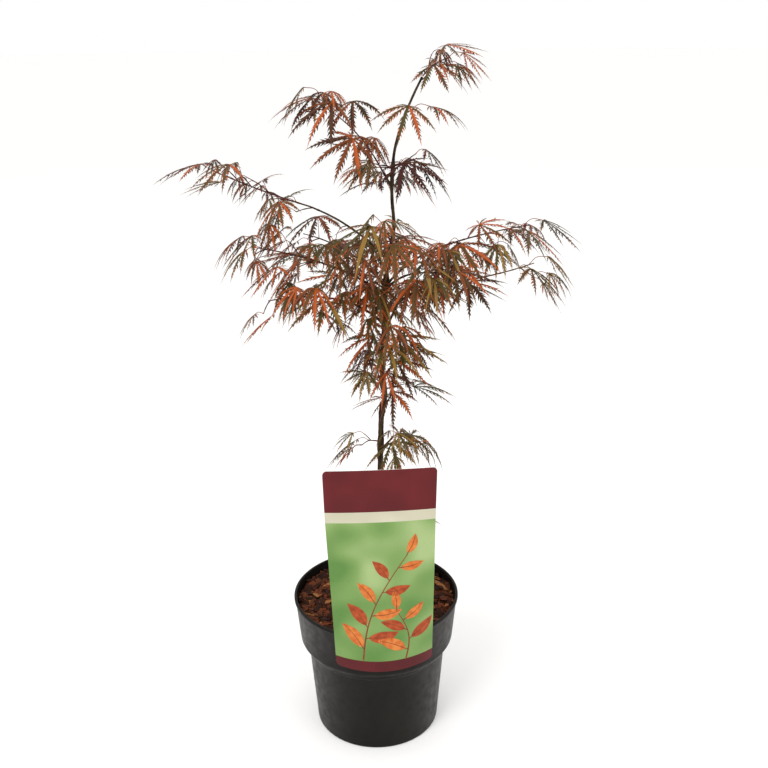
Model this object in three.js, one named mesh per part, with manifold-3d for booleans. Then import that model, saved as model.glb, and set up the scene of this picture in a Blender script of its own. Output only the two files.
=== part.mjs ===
// A young cut-leaf maple in a round nursery pot, with bark mulch round its stem and a card hooked on the rim.
// Millimetres, +Z up. The origin is the centre of the pot's underside, and the front of the plant faces -Y.

import * as THREE from "three";
import { mergeVertices } from "three/addons/utils/BufferGeometryUtils.js";
import Module from "manifold-3d";

const wasm = await Module();
wasm.setup();
const { Manifold } = wasm;

// Clearance between neighbouring solids
const GAP = 0.3;

// Pot: a tapered body under a wide collar with a small lip
const POT_HEIGHT = 165;
const POT_BASE_RADIUS = 72;
const POT_BODY_RADIUS = 79.6;
const POT_SHOULDER_HEIGHT = 98;
const COLLAR_FOOT_RADIUS = 89;
const COLLAR_FOOT_HEIGHT = 114;
const COLLAR_TOP_RADIUS = 93.6;
const LIP_RADIUS = 95;
const LIP_DEPTH = 4;
const POT_WALL = 1.6;
const POT_FLOOR = 4;
const POT_EDGE = 2.5;
const POT_SIDES = 36;

// Mulch: its surface rises a little from the wall to the stem
const MULCH_EDGE_HEIGHT = 151;
const MULCH_CROWN_HEIGHT = 153;
const MULCH_CROWN_RADIUS = 16;

// Trunk: one slender stem that leans more as it rises, with two old kinks and a bent leader
const TRUNK_FOOT = MULCH_CROWN_HEIGHT + GAP;
const TRUNK_TOP = 738;
const TRUNK_FOOT_X = 5;
const TRUNK_LEAN = 14;
const TRUNK_LEAN_HEIGHT = 450;
const TRUNK_LEAN_POWER = 2.2;
const TRUNK_SWAY = 3;
const TRUNK_SWAY_LENGTH = 110;
const TRUNK_KINKS = [
  { height: 406, reach: 3.5, length: 13 },
  { height: 590, reach: 5, length: 26 },
];
const LEADER_BEND_HEIGHT = 660;
const LEADER_BEND_REACH = 22;
const LEADER_BEND_POWER = 1.6;
const TRUNK_FOOT_RADIUS = 4.6;
const TRUNK_TOP_RADIUS = 1.3;
const TRUNK_TAPER_POWER = 1.15;
const ROOT_FLARE = 3.4;
const ROOT_FLARE_LENGTH = 11;
const TRUNK_SIDES = 8;
const TRUNK_STEPS = 24;
const TRUNK_STEP_POWER = 1.25;

// Limbs: boughs leave the trunk a little thinner than it, and short limbs start as thin stems
const BOUGH_FOOT_RADIUS = 2.2;
const BOUGH_FOOT_SHARE = 0.75;
const BOUGH_TIP_SHARE = 0.68;
const SPUR_FOOT_RADIUS = 1.3;
const LIMB_STEPS = 4;
const LIMB_SIDES = 5;
const TWIG_TIP_RADIUS = 0.8;

// Leaf stalks, whose lengths are shares of their leaf's size
const STALK_HALF_WIDTH = 0.8;
const STALK_ANGLE = 52;
const STALK_ANGLE_RANGE = [0.75, 1.25];
const STALK_LIFT = 0.45;
const STALK_ARCH = 0.45;
const STALK_LENGTH_RANGE = [0.3, 0.52];
const PAIR_TURN = [12, 52];
const PAIR_TURN_SPREAD = 50;
const TIP_LEAF = { share: 0.94, turn: 90, angle: 8 };

// Leaves, whose size is the length of their middle lobe. Spreads are whole widths, and angles are in degrees.
const SIZE_RANGE = [0.88, 1.12];
const HEADING_SPREAD = 40;
const TILT_RANGE = [4, 42];
const ROLL_SPREAD = 60;
const DROOP_RANGE = [0.2, 0.6];
const SEVEN_LOBE_PAIRS = 6;
const LOBE_SHARES = [1, 0.94, 0.8, 0.54];
const LOBE_SHARE_RANGE = [0.9, 1.1];
const LOBE_SPACING = 33;
const LOBE_SWING_SPREAD = 9;
const LOBE_TWIST_SPREAD = 50;
const SINUS_SHARE = 0.12;
const TOOTH_ALONG = 0.42;
const TOOTH_HALF_WIDTH = 0.095;
const NOTCH_ALONG = 0.5;
const NOTCH_HALF_WIDTH = 0.04;
const SHOULDER_ALONG = 0.42;
const SHOULDER_HALF_WIDTH = 0.07;
const HEEL = 2.4;
const BLADE_THICKNESS = 1.2;

// Points along ribs and limbs keep leaves apart, and a leaf that finds no room in its tries is left out
const LEAF_CLEARANCE = 7;
const LIMB_CLEARANCE = 6;
const LIMB_SAMPLE_SPACING = 6;
const LEAF_TRIES = 14;
const SHRINK_PER_TRY = 0.02;
const RIB_SAMPLES = 7;

// Each spray grows from the next seed in turn, or from its limb's own, with which it fills its place in the crown
const SEED = 2;

// Card: bent round the collar at its foot, flat at its head, with a tongue that hooks over the rim
const CARD_YAW = 6.5;
const CARD_TWIST = -2.5;
const CARD_HEAD_WIDTH = 117;
const CARD_FOOT_WIDTH = 106;
const CARD_FOOT_HEIGHT = 124.5;
const CARD_HEAD_HEIGHT = 363.5;
const CARD_FOOT_BOW = 2.5;
const CARD_THICKNESS = 0.8;
const CARD_BEND_RADIUS = LIP_RADIUS + 0.5;
const CARD_HEAD_BEND = 0.1;
const CARD_BEND_FADE = 1.3;
const CARD_COLUMNS = 8;
const CARD_ROWS = 5;
const TONGUE_WIDTH = 24;
const TONGUE_DEPTH = 10;
const TONGUE_THICKNESS = 1;

// Each limb leaves the trunk at a height and a heading, seen from above with 0 along +X and 270 to the front.
// Its two parts rise by the first angle of their pair where they start and by the second where they end: the
// bare bough, and beyond it the leafy stem of a spray, which carries its pairs of leaves and one at its tip.
const BOUGH_LIMBS = [
  { name: "left_upper", at: 556, heading: 178, bare: 96, bareRise: [50, 22],
    leafy: 104, leafyRise: [17, 24], pairs: 3, lobe: 50, seed: 13 },
  { name: "left_middle", at: 520, heading: 187, bare: 76, bareRise: [38, 20],
    leafy: 72, leafyRise: [20, 10], pairs: 3, lobe: 60, seed: 8 },
  { name: "left_front", at: 488, heading: 206, bare: 62, bareRise: [46, 20],
    leafy: 76, leafyRise: [16, -4], pairs: 3, lobe: 62 },
  { name: "right_upper", at: 530, heading: 3, bare: 66, bareRise: [50, 22],
    leafy: 96, leafyRise: [18, 8], pairs: 4, lobe: 58, seed: 3 },
  { name: "right_lower", at: 496, heading: 357, bare: 76, bareRise: [52, 8],
    leafy: 92, leafyRise: [6, 20], pairs: 4, lobe: 56, seed: 20 },
  { name: "right_front", at: 526, heading: 318, bare: 44, bareRise: [44, 18],
    leafy: 42, leafyRise: [14, 4], pairs: 3, lobe: 58, seed: 35 },
  { name: "front", at: 566, heading: 272, bare: 26, bareRise: [44, 24],
    leafy: 34, leafyRise: [20, 0], pairs: 2, lobe: 64, seed: 5 },
  { name: "back_left", at: 528, heading: 138, bare: 60, bareRise: [40, 20],
    leafy: 70, leafyRise: [16, 2], pairs: 2, lobe: 60 },
  { name: "back_right", at: 472, heading: 68, bare: 58, bareRise: [42, 20],
    leafy: 84, leafyRise: [16, 2], pairs: 2, lobe: 60 },
  { name: "back", at: 538, heading: 92, bare: 44, bareRise: [40, 16],
    leafy: 60, leafyRise: [12, 0], pairs: 2, lobe: 60 },
  { name: "top_left", at: 632, heading: 181, bare: 36, bareRise: [60, 60],
    leafy: 66, leafyRise: [58, 32], pairs: 3, lobe: 56, seed: 26 },
];

// Short limbs have no bough: their leafy stems start on the trunk itself
const SPUR_LIMBS = [
  { name: "leader", at: TRUNK_TOP, heading: 8, leafy: 32, leafyRise: [54, 10], pairs: 2, lobe: 47, seed: 11 },
  { name: "centre_left", at: 535, heading: 214, leafy: 46, leafyRise: [30, 0], pairs: 1, lobe: 60, seed: 14 },
  { name: "centre_right", at: 506, heading: 300, leafy: 40, leafyRise: [40, 8], pairs: 1, lobe: 62 },
  { name: "front_low", at: 468, heading: 275, leafy: 36, leafyRise: [35, 0], pairs: 1, lobe: 56, seed: 17 },
  { name: "leader_side", at: 704, heading: 310, leafy: 17, leafyRise: [20, 10], pairs: 1, lobe: 50 },
  { name: "upper_right", at: 652, heading: 345, leafy: 16, leafyRise: [25, 5], pairs: 1, lobe: 56 },
  { name: "upper_left", at: 650, heading: 225, leafy: 20, leafyRise: [30, 0], pairs: 1, lobe: 54 },
  { name: "upper_back", at: 638, heading: 80, leafy: 14, leafyRise: [25, 5], pairs: 1, lobe: 56, seed: 5 },
  { name: "middle_right", at: 446, heading: 350, leafy: 18, leafyRise: [20, 0], pairs: 1, lobe: 54 },
  { name: "middle_left", at: 440, heading: 185, leafy: 20, leafyRise: [15, 0], pairs: 1, lobe: 48 },
  { name: "lower_right", at: 414, heading: 335, leafy: 22, leafyRise: [25, 5], pairs: 1, lobe: 54 },
  { name: "lower_left", at: 420, heading: 190, leafy: 20, leafyRise: [20, 0], pairs: 1, lobe: 44 },
  { name: "low_right", at: 344, heading: 5, leafy: 20, leafyRise: [30, 15], pairs: 1, lobe: 52, seed: 30 },
  { name: "low_left", at: 352, heading: 188, leafy: 14, leafyRise: [20, 0], pairs: 0, lobe: 50 },
  { name: "low_back", at: 386, heading: 95, leafy: 16, leafyRise: [25, 5], pairs: 0, lobe: 52 },
  { name: "foot", at: 272, heading: 20, leafy: 22, leafyRise: [25, 10], pairs: 1, lobe: 50 },
];

const BARK = new THREE.MeshStandardMaterial({ color: 0x4a3a2c, roughness: 0.8 });
const LEAF = new THREE.MeshStandardMaterial({ color: 0x7a2f1c, roughness: 0.6 });
const POT_PLASTIC = new THREE.MeshStandardMaterial({ color: 0x25231f, roughness: 0.42 });
const MULCH = new THREE.MeshStandardMaterial({ color: 0x5b3222, roughness: 0.95 });
const CARD = new THREE.MeshStandardMaterial({ color: 0x7fae5c, roughness: 0.4 });

const DOWN = new THREE.Vector3(0, 0, -1);
const UP = new THREE.Vector3(0, 0, 1);

function radians(degrees) {
  return THREE.MathUtils.degToRad(degrees);
}

// A unit vector with a heading round +Z and a rise above the level
function direction(heading, rise) {
  const flat = Math.cos(radians(rise));
  return new THREE.Vector3(
    flat * Math.cos(radians(heading)),
    flat * Math.sin(radians(heading)),
    Math.sin(radians(rise)),
  );
}

// Seeded numbers from 0 to 1, the same on each run
function seeded(seed) {
  let state = seed >>> 0;
  return () => {
    state = (state + 0x6d2b79f5) >>> 0;
    let mixed = Math.imul(state ^ (state >>> 15), state | 1);
    mixed ^= mixed + Math.imul(mixed ^ (mixed >>> 7), mixed | 61);
    return ((mixed ^ (mixed >>> 14)) >>> 0) / 2 ** 32;
  };
}

function within(range, random) {
  return THREE.MathUtils.lerp(range[0], range[1], random());
}

function spread(width, random) {
  return width * (random() - 0.5);
}

// A closed mesh as a solid that can be joined and cut
function solidOf(geometry) {
  const bare = geometry.clone();
  bare.deleteAttribute("normal");
  bare.deleteAttribute("uv");
  const merged = mergeVertices(bare, 1e-4);
  return new Manifold(
    new wasm.Mesh({
      numProp: 3,
      vertProperties: new Float32Array(merged.attributes.position.array),
      triVerts: new Uint32Array(merged.index.array),
    }),
  );
}

// A joined or cut solid as flat-shaded geometry
function geometryOf(solid) {
  const mesh = solid.getMesh();
  const geometry = new THREE.BufferGeometry();
  geometry.setAttribute("position", new THREE.BufferAttribute(mesh.vertProperties, mesh.numProp));
  geometry.setIndex(new THREE.BufferAttribute(mesh.triVerts, 1));
  const flat = geometry.toNonIndexed();
  flat.computeVertexNormals();
  return flat;
}

// A round solid about +Z from its outline, given as radius and height from the axis back to the axis
function turned(outline, sides) {
  const points = outline.map(([radius, height]) => new THREE.Vector2(radius, height));
  return new THREE.LatheGeometry(points, sides).rotateX(Math.PI / 2);
}

// A closed tube along a row of points, with a radius for each point
function taperedTube(points, radii, sides) {
  const curve = new THREE.CatmullRomCurve3(points);
  const positions = [];
  const faces = [];
  let normal = new THREE.Vector3(0.36, 0.48, 0.8);
  points.forEach((point, ring) => {
    const tangent = curve.getTangent(ring / (points.length - 1));
    normal = normal.clone().addScaledVector(tangent, -normal.dot(tangent)).normalize();
    const side = tangent.clone().cross(normal);
    for (let corner = 0; corner < sides; corner++) {
      const turn = (2 * Math.PI * corner) / sides;
      const vertex = point
        .clone()
        .addScaledVector(normal, radii[ring] * Math.cos(turn))
        .addScaledVector(side, radii[ring] * Math.sin(turn));
      positions.push(...vertex.toArray());
    }
  });
  const at = (ring, corner) => ring * sides + (corner % sides);
  for (let ring = 0; ring < points.length - 1; ring++) {
    for (let corner = 0; corner < sides; corner++) {
      faces.push(at(ring, corner), at(ring, corner + 1), at(ring + 1, corner + 1));
      faces.push(at(ring, corner), at(ring + 1, corner + 1), at(ring + 1, corner));
    }
  }
  const last = points.length - 1;
  for (let corner = 1; corner < sides - 1; corner++) {
    faces.push(at(0, 0), at(0, corner + 1), at(0, corner));
    faces.push(at(last, 0), at(last, corner), at(last, corner + 1));
  }
  const geometry = new THREE.BufferGeometry();
  geometry.setAttribute("position", new THREE.Float32BufferAttribute(positions, 3));
  geometry.setIndex(faces);
  return geometry;
}

// The outer outline of the pot, from the underside up to the lip
function potOutside() {
  return [
    [POT_BASE_RADIUS - POT_EDGE, 0],
    [POT_BASE_RADIUS, POT_EDGE],
    [POT_BODY_RADIUS, POT_SHOULDER_HEIGHT],
    [(POT_BODY_RADIUS + 2 * COLLAR_FOOT_RADIUS) / 3, (POT_SHOULDER_HEIGHT + COLLAR_FOOT_HEIGHT) / 2],
    [COLLAR_FOOT_RADIUS, COLLAR_FOOT_HEIGHT],
    [COLLAR_TOP_RADIUS, POT_HEIGHT - LIP_DEPTH],
    [LIP_RADIUS, POT_HEIGHT - LIP_DEPTH / 2],
    [LIP_RADIUS, POT_HEIGHT],
  ];
}

// The inner outline of the pot, from the rim down to its floor
function potInside() {
  return [
    [COLLAR_TOP_RADIUS - POT_WALL, POT_HEIGHT],
    [COLLAR_FOOT_RADIUS - POT_WALL, COLLAR_FOOT_HEIGHT],
    [POT_BODY_RADIUS - POT_WALL, POT_SHOULDER_HEIGHT],
    [POT_BASE_RADIUS - POT_WALL, POT_FLOOR],
  ];
}

function makePot() {
  return turned([[0, 0], ...potOutside(), ...potInside(), [0, POT_FLOOR]], POT_SIDES);
}

function makeMulch() {
  const [rim, collarFoot, shoulder, floor] = potInside();
  const rise = (MULCH_EDGE_HEIGHT - COLLAR_FOOT_HEIGHT) / (POT_HEIGHT - COLLAR_FOOT_HEIGHT);
  const edgeRadius = collarFoot[0] + (rim[0] - collarFoot[0]) * rise;
  const outline = [
    [0, POT_FLOOR + GAP],
    [floor[0] - GAP, POT_FLOOR + GAP],
    [shoulder[0] - GAP, POT_SHOULDER_HEIGHT],
    [collarFoot[0] - GAP, COLLAR_FOOT_HEIGHT],
    [edgeRadius - GAP, MULCH_EDGE_HEIGHT],
    [MULCH_CROWN_RADIUS, MULCH_CROWN_HEIGHT],
    [0, MULCH_CROWN_HEIGHT],
  ];
  return turned(outline, POT_SIDES);
}

// The trunk's centre at a height
function trunkPoint(height) {
  const above = height - MULCH_CROWN_HEIGHT;
  let x = TRUNK_FOOT_X + TRUNK_LEAN * (Math.max(0, above) / TRUNK_LEAN_HEIGHT) ** TRUNK_LEAN_POWER;
  for (const kink of TRUNK_KINKS) x += kink.reach * Math.exp(-(((height - kink.height) / kink.length) ** 2));
  const bendShare = Math.max(0, height - LEADER_BEND_HEIGHT) / (TRUNK_TOP - LEADER_BEND_HEIGHT);
  x += LEADER_BEND_REACH * bendShare ** LEADER_BEND_POWER;
  return new THREE.Vector3(x, TRUNK_SWAY * Math.sin(above / TRUNK_SWAY_LENGTH), height);
}

function trunkRadius(height) {
  const share = (height - TRUNK_FOOT) / (TRUNK_TOP - TRUNK_FOOT);
  const flare = ROOT_FLARE * Math.exp(-(height - TRUNK_FOOT) / ROOT_FLARE_LENGTH);
  return TRUNK_FOOT_RADIUS + (TRUNK_TOP_RADIUS - TRUNK_FOOT_RADIUS) * share ** TRUNK_TAPER_POWER + flare;
}

// Points along the trunk, closer together low down, from just under its foot
function trunkPath() {
  const foot = TRUNK_FOOT - 2;
  return Array.from({ length: TRUNK_STEPS + 1 }, (_, step) =>
    trunkPoint(foot + (TRUNK_TOP - foot) * (step / TRUNK_STEPS) ** TRUNK_STEP_POWER),
  );
}

// The trunk grown by a margin, which is also what limbs are cut back from
function trunkSolid(margin) {
  const points = trunkPath();
  const radii = points.map((point) => trunkRadius(Math.max(point.z, TRUNK_FOOT)) + margin);
  const whole = solidOf(taperedTube(points, radii, TRUNK_SIDES));
  return whole.trimByPlane([0, 0, 1], TRUNK_FOOT - margin);
}

// A row of points from a start, whose rise runs from the first angle to the second
function limbPath(start, heading, rise, length, steps) {
  const points = [start.clone()];
  for (let step = 0; step < steps; step++) {
    const angle = THREE.MathUtils.lerp(rise[0], rise[1], (step + 0.5) / steps);
    points.push(points[step].clone().addScaledVector(direction(heading, angle), length / steps));
  }
  return points;
}

function taper(from, to, count) {
  return Array.from({ length: count }, (_, i) => THREE.MathUtils.lerp(from, to, i / (count - 1)));
}

// How a limb runs: its bough's points, its stem's points, and its radius where one becomes the other
function layOutLimb(limb) {
  const start = trunkPoint(limb.at);
  const footRadius = Math.min(BOUGH_FOOT_RADIUS, BOUGH_FOOT_SHARE * trunkRadius(limb.at));
  const bough = limb.bare ? limbPath(start, limb.heading, limb.bareRise, limb.bare, LIMB_STEPS) : null;
  const joint = bough ? bough[LIMB_STEPS] : start;
  const onward = direction(limb.heading, limb.leafyRise[0]);
  const stemStart = joint.clone().addScaledVector(onward, bough ? GAP : 0);
  const stemRadius = bough ? footRadius * BOUGH_TIP_SHARE : Math.min(SPUR_FOOT_RADIUS, footRadius);
  const stem = limbPath(stemStart, limb.heading, limb.leafyRise, limb.leafy, LIMB_STEPS);
  return { bough, stem, footRadius, stemRadius };
}

// Where a stem's leaves stand: opposite pairs, each pair turned from the last, and one at the tip
function leafPlaces(limb) {
  const places = [];
  for (let pair = 0; pair < limb.pairs; pair++) {
    const share = (pair + 0.5) / (limb.pairs + 0.3);
    const turn = PAIR_TURN[0] + PAIR_TURN[1] * pair;
    places.push({ share, turn, angle: STALK_ANGLE });
    places.push({ share, turn: turn + 180, angle: STALK_ANGLE });
  }
  places.push(TIP_LEAF);
  return places;
}

// A leaf at its place: its stalk leaves the stem at an angle and arches over, and its blade follows
function layOutLeaf(limb, stemCurve, place, random, shrink) {
  const turn = radians(place.turn + spread(PAIR_TURN_SPREAD, random));
  const angle = radians(place.angle * within(STALK_ANGLE_RANGE, random));
  const from = stemCurve.getPoint(place.share);
  const along = stemCurve.getTangent(place.share);
  const across = along.clone().cross(UP).normalize();
  const over = across.clone().cross(along).normalize();
  const out = along
    .clone()
    .multiplyScalar(Math.cos(angle))
    .addScaledVector(across, Math.sin(angle) * Math.cos(turn))
    .addScaledVector(over, Math.sin(angle) * Math.sin(turn));
  const size = limb.lobe * within(SIZE_RANGE, random) * shrink;
  const length = size * within(STALK_LENGTH_RANGE, random);
  const lifted = out.clone().addScaledVector(UP, STALK_LIFT).normalize();
  const arched = out.clone().addScaledVector(DOWN, STALK_ARCH).normalize();
  const middle = from.clone().addScaledVector(lifted, length / 2);
  const hub = middle.clone().addScaledVector(arched, length / 2);
  const stalkHeading = THREE.MathUtils.radToDeg(Math.atan2(lifted.y, lifted.x));
  const heading = stalkHeading + spread(HEADING_SPREAD, random);
  const forward = direction(heading, -within(TILT_RANGE, random));
  const roll = radians(spread(ROLL_SPREAD, random));
  const side = direction(heading + 90, 0).applyAxisAngle(forward, roll);
  const droop = within(DROOP_RANGE, random);
  const outer = random() < limb.pairs / SEVEN_LOBE_PAIRS ? 3 : 2;
  const leaf = { from, middle, hub, forward, side, normal: forward.clone().cross(side), outer };
  leaf.lobes = Array.from({ length: 2 * outer + 1 }, (_, i) => {
    const swing = LOBE_SPACING * (i - outer) + spread(LOBE_SWING_SPREAD, random);
    const lobeLength = size * LOBE_SHARES[Math.abs(i - outer)] * within(LOBE_SHARE_RANGE, random);
    return layOutLobe(leaf, swing, lobeLength, droop, radians(spread(LOBE_TWIST_SPREAD, random)));
  });
  return leaf;
}

// A lobe's rib leaves the hub in the leaf's plane and bends down over its length
function layOutLobe(leaf, swing, length, droop, twist) {
  const start = inPlane(leaf, swing);
  const end = start.clone().multiplyScalar(1 - droop).addScaledVector(DOWN, droop).normalize();
  const middle = leaf.hub.clone().addScaledVector(start, length / 2);
  const tip = middle.clone().addScaledVector(end, length / 2);
  const rib = new THREE.QuadraticBezierCurve3(leaf.hub, middle, tip);
  return { swing, length, rib, across: inPlane(leaf, swing + 90), twist };
}

function inPlane(leaf, swing) {
  return leaf.forward
    .clone()
    .multiplyScalar(Math.cos(radians(swing)))
    .addScaledVector(leaf.side, Math.sin(radians(swing)));
}

// Points along a leaf's stalk and ribs, by which leaves are kept apart
function leafSamples(leaf) {
  const points = [leaf.middle, leaf.hub];
  for (const { rib } of leaf.lobes) {
    for (let i = 1; i <= RIB_SAMPLES; i++) points.push(rib.getPoint(i / RIB_SAMPLES));
  }
  return points;
}

// A point of a lobe's edge, with the blade's normal there
function lobeEdge(lobe, along, halfWidth) {
  const tangent = lobe.rib.getTangent(along).normalize();
  const across = lobe.across
    .clone()
    .addScaledVector(tangent, -lobe.across.dot(tangent))
    .normalize()
    .applyAxisAngle(tangent, lobe.twist * along);
  const point = lobe.rib.getPoint(along).addScaledVector(across, halfWidth * lobe.length);
  return [point, tangent.clone().cross(across)];
}

// A whole leaf in one piece: a thin sheet of lobes round the hub, whose heel draws out into the stalk
function leafSolid(leaf) {
  const { hub, forward, side, normal, lobes } = leaf;
  const half = LOBE_SPACING / 2;
  const sinusReach = lobes[leaf.outer].length * SINUS_SHARE;
  const entries = [];
  const faces = [];
  const add = (point, facing = normal) => entries.push({ point, normal: facing }) - 1;
  const addEdge = (lobe, along, halfWidth) => add(...lobeEdge(lobe, along, halfWidth));
  const addSinus = (swing) => add(hub.clone().addScaledVector(inPlane(leaf, swing), sinusReach));
  const heelPoint = hub.clone().addScaledVector(forward, -HEEL);
  const heelLeft = add(heelPoint.clone().addScaledVector(side, STALK_HALF_WIDTH));
  const heelRight = add(heelPoint.clone().addScaledVector(side, -STALK_HALF_WIDTH));
  const centre = add(hub);
  let right = addSinus(lobes[0].swing - half);
  const rim = [heelRight, right];
  faces.push([centre, heelLeft, heelRight], [centre, heelRight, right]);
  lobes.forEach((lobe, i) => {
    const left = addSinus(i + 1 < lobes.length ? (lobe.swing + lobes[i + 1].swing) / 2 : lobe.swing + half);
    faces.push([centre, right, left]);
    if (i === leaf.outer) {
      const rightTooth = addEdge(lobe, TOOTH_ALONG, -TOOTH_HALF_WIDTH);
      const rightNotch = addEdge(lobe, NOTCH_ALONG, -NOTCH_HALF_WIDTH);
      const tip = addEdge(lobe, 1, 0);
      const leftNotch = addEdge(lobe, NOTCH_ALONG, NOTCH_HALF_WIDTH);
      const leftTooth = addEdge(lobe, TOOTH_ALONG, TOOTH_HALF_WIDTH);
      rim.push(rightTooth, rightNotch, tip, leftNotch, leftTooth, left);
      faces.push([right, rightNotch, left], [left, rightNotch, leftNotch], [rightNotch, tip, leftNotch]);
      faces.push([right, rightTooth, rightNotch], [left, leftNotch, leftTooth]);
    } else {
      const rightShoulder = addEdge(lobe, SHOULDER_ALONG, -SHOULDER_HALF_WIDTH);
      const tip = addEdge(lobe, 1, 0);
      const leftShoulder = addEdge(lobe, SHOULDER_ALONG, SHOULDER_HALF_WIDTH);
      rim.push(rightShoulder, tip, leftShoulder, left);
      faces.push([right, rightShoulder, left], [left, rightShoulder, leftShoulder]);
      faces.push([rightShoulder, tip, leftShoulder]);
    }
    right = left;
  });
  faces.push([centre, right, heelLeft]);
  rim.push(heelLeft);

  const count = entries.length;
  const positions = [];
  for (const share of [0.5, -0.5]) {
    for (const { point, normal: facing } of entries) {
      positions.push(...point.clone().addScaledVector(facing, share * BLADE_THICKNESS).toArray());
    }
  }
  const index = faces.flatMap(([a, b, c]) => [a, b, c, a + count, c + count, b + count]);
  for (let i = 0; i + 1 < rim.length; i++) {
    const [from, to] = [rim[i], rim[i + 1]];
    index.push(from, from + count, to, to, from + count, to + count);
  }
  addStalk(leaf, positions, index, [heelLeft, heelRight, heelRight + count, heelLeft + count]);
  const geometry = new THREE.BufferGeometry();
  geometry.setAttribute("position", new THREE.Float32BufferAttribute(positions, 3));
  geometry.setIndex(index);
  return solidOf(geometry);
}

// The four-sided stalk, from the stem to the four corners of the blade's heel
function addStalk(leaf, positions, index, heelRing) {
  const first = leaf.middle.clone().sub(leaf.from).normalize();
  const second = leaf.hub.clone().sub(leaf.middle).normalize();
  const rings = [
    [leaf.from, first],
    [leaf.middle, first.clone().add(second).normalize()],
  ].map(([centre, along]) => {
    const across = leaf.side.clone().addScaledVector(along, -leaf.side.dot(along));
    across.setLength(STALK_HALF_WIDTH);
    const above = along.clone().cross(across);
    const start = positions.length / 3;
    for (const [sideways, upward] of [[1, 1], [-1, 1], [-1, -1], [1, -1]]) {
      const corner = centre.clone().addScaledVector(across, sideways).addScaledVector(above, upward);
      positions.push(...corner.toArray());
    }
    return [start, start + 1, start + 2, start + 3];
  });
  rings.push(heelRing);
  index.push(rings[0][0], rings[0][3], rings[0][2], rings[0][0], rings[0][2], rings[0][1]);
  for (let ring = 0; ring < 2; ring++) {
    for (let i = 0; i < 4; i++) {
      const j = (i + 1) % 4;
      const [near, far] = [rings[ring], rings[ring + 1]];
      index.push(near[i], near[j], far[j], near[i], far[j], far[i]);
    }
  }
}

// The points of limbs and leaves already laid out, each with the clearance that it asks for
const occupied = [];

function isClear(points) {
  return points.every((point) => occupied.every((other) => point.distanceTo(other.point) > other.room));
}

function occupy(points, room) {
  for (const point of points) occupied.push({ point, room });
}

function occupyLimb(points) {
  const curve = new THREE.CatmullRomCurve3(points);
  const count = Math.ceil(curve.getLength() / LIMB_SAMPLE_SPACING);
  for (let i = 0; i <= count; i++) occupy([curve.getPoint(i / count)], LIMB_CLEARANCE);
}

// The solids already in place, so that no leaf touches another node
const placed = [];

function touches(solid, margin, owner) {
  const box = solid.boundingBox();
  return placed.some((other) => {
    if (other.owner === owner) return false;
    const near = other.solid.boundingBox();
    const apart = [0, 1, 2].some(
      (axis) => box.min[axis] > near.max[axis] + margin || box.max[axis] < near.min[axis] - margin,
    );
    return !apart && solid.minGap(other.solid, margin) < margin;
  });
}

// The largest body of a joined solid
function wholeBody(solid) {
  return solid.decompose().reduce((best, body) => (body.volume() > best.volume() ? body : best));
}

function makeTwig({ limb, stem, stemRadius }, trunkClearance) {
  const twig = solidOf(taperedTube(stem, taper(stemRadius, TWIG_TIP_RADIUS, stem.length), LIMB_SIDES));
  return limb.bare ? twig : wholeBody(twig.subtract(trunkClearance));
}

// A spray: its twig, with each leaf at the first of its tries that finds room
function makeSpray({ limb, seed, stem, twig }) {
  const pieces = [twig];
  const random = seeded(seed);
  const stemCurve = new THREE.CatmullRomCurve3(stem);
  for (const place of leafPlaces(limb)) {
    for (let attempt = 0; attempt < LEAF_TRIES; attempt++) {
      const leaf = layOutLeaf(limb, stemCurve, place, random, 1 - SHRINK_PER_TRY * attempt);
      const samples = leafSamples(leaf);
      if (!isClear(samples)) continue;
      const solid = leafSolid(leaf);
      if (touches(solid, GAP, limb.name + "_spray")) continue;
      occupy(samples, LEAF_CLEARANCE);
      pieces.push(solid);
      break;
    }
  }
  return wholeBody(Manifold.union(pieces));
}

// The card's face at a share of its width, from -1 to 1, and of its height, from 0 to 1
function cardPoint(across, up, outward) {
  const halfWidth = THREE.MathUtils.lerp(CARD_FOOT_WIDTH, CARD_HEAD_WIDTH, up) / 2;
  const x = across * halfWidth;
  const sag = CARD_BEND_RADIUS - Math.sqrt(CARD_BEND_RADIUS ** 2 - x ** 2);
  const fade = Math.min(1, up * CARD_BEND_FADE);
  const y = -(CARD_BEND_RADIUS + outward) + sag * (1 - (1 - CARD_HEAD_BEND) * fade);
  const foot = CARD_FOOT_HEIGHT - CARD_FOOT_BOW * (1 - across ** 2);
  const point = new THREE.Vector3(x, y, THREE.MathUtils.lerp(foot, CARD_HEAD_HEIGHT, up));
  return point.applyAxisAngle(UP, radians(CARD_TWIST * fade)).toArray();
}

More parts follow.
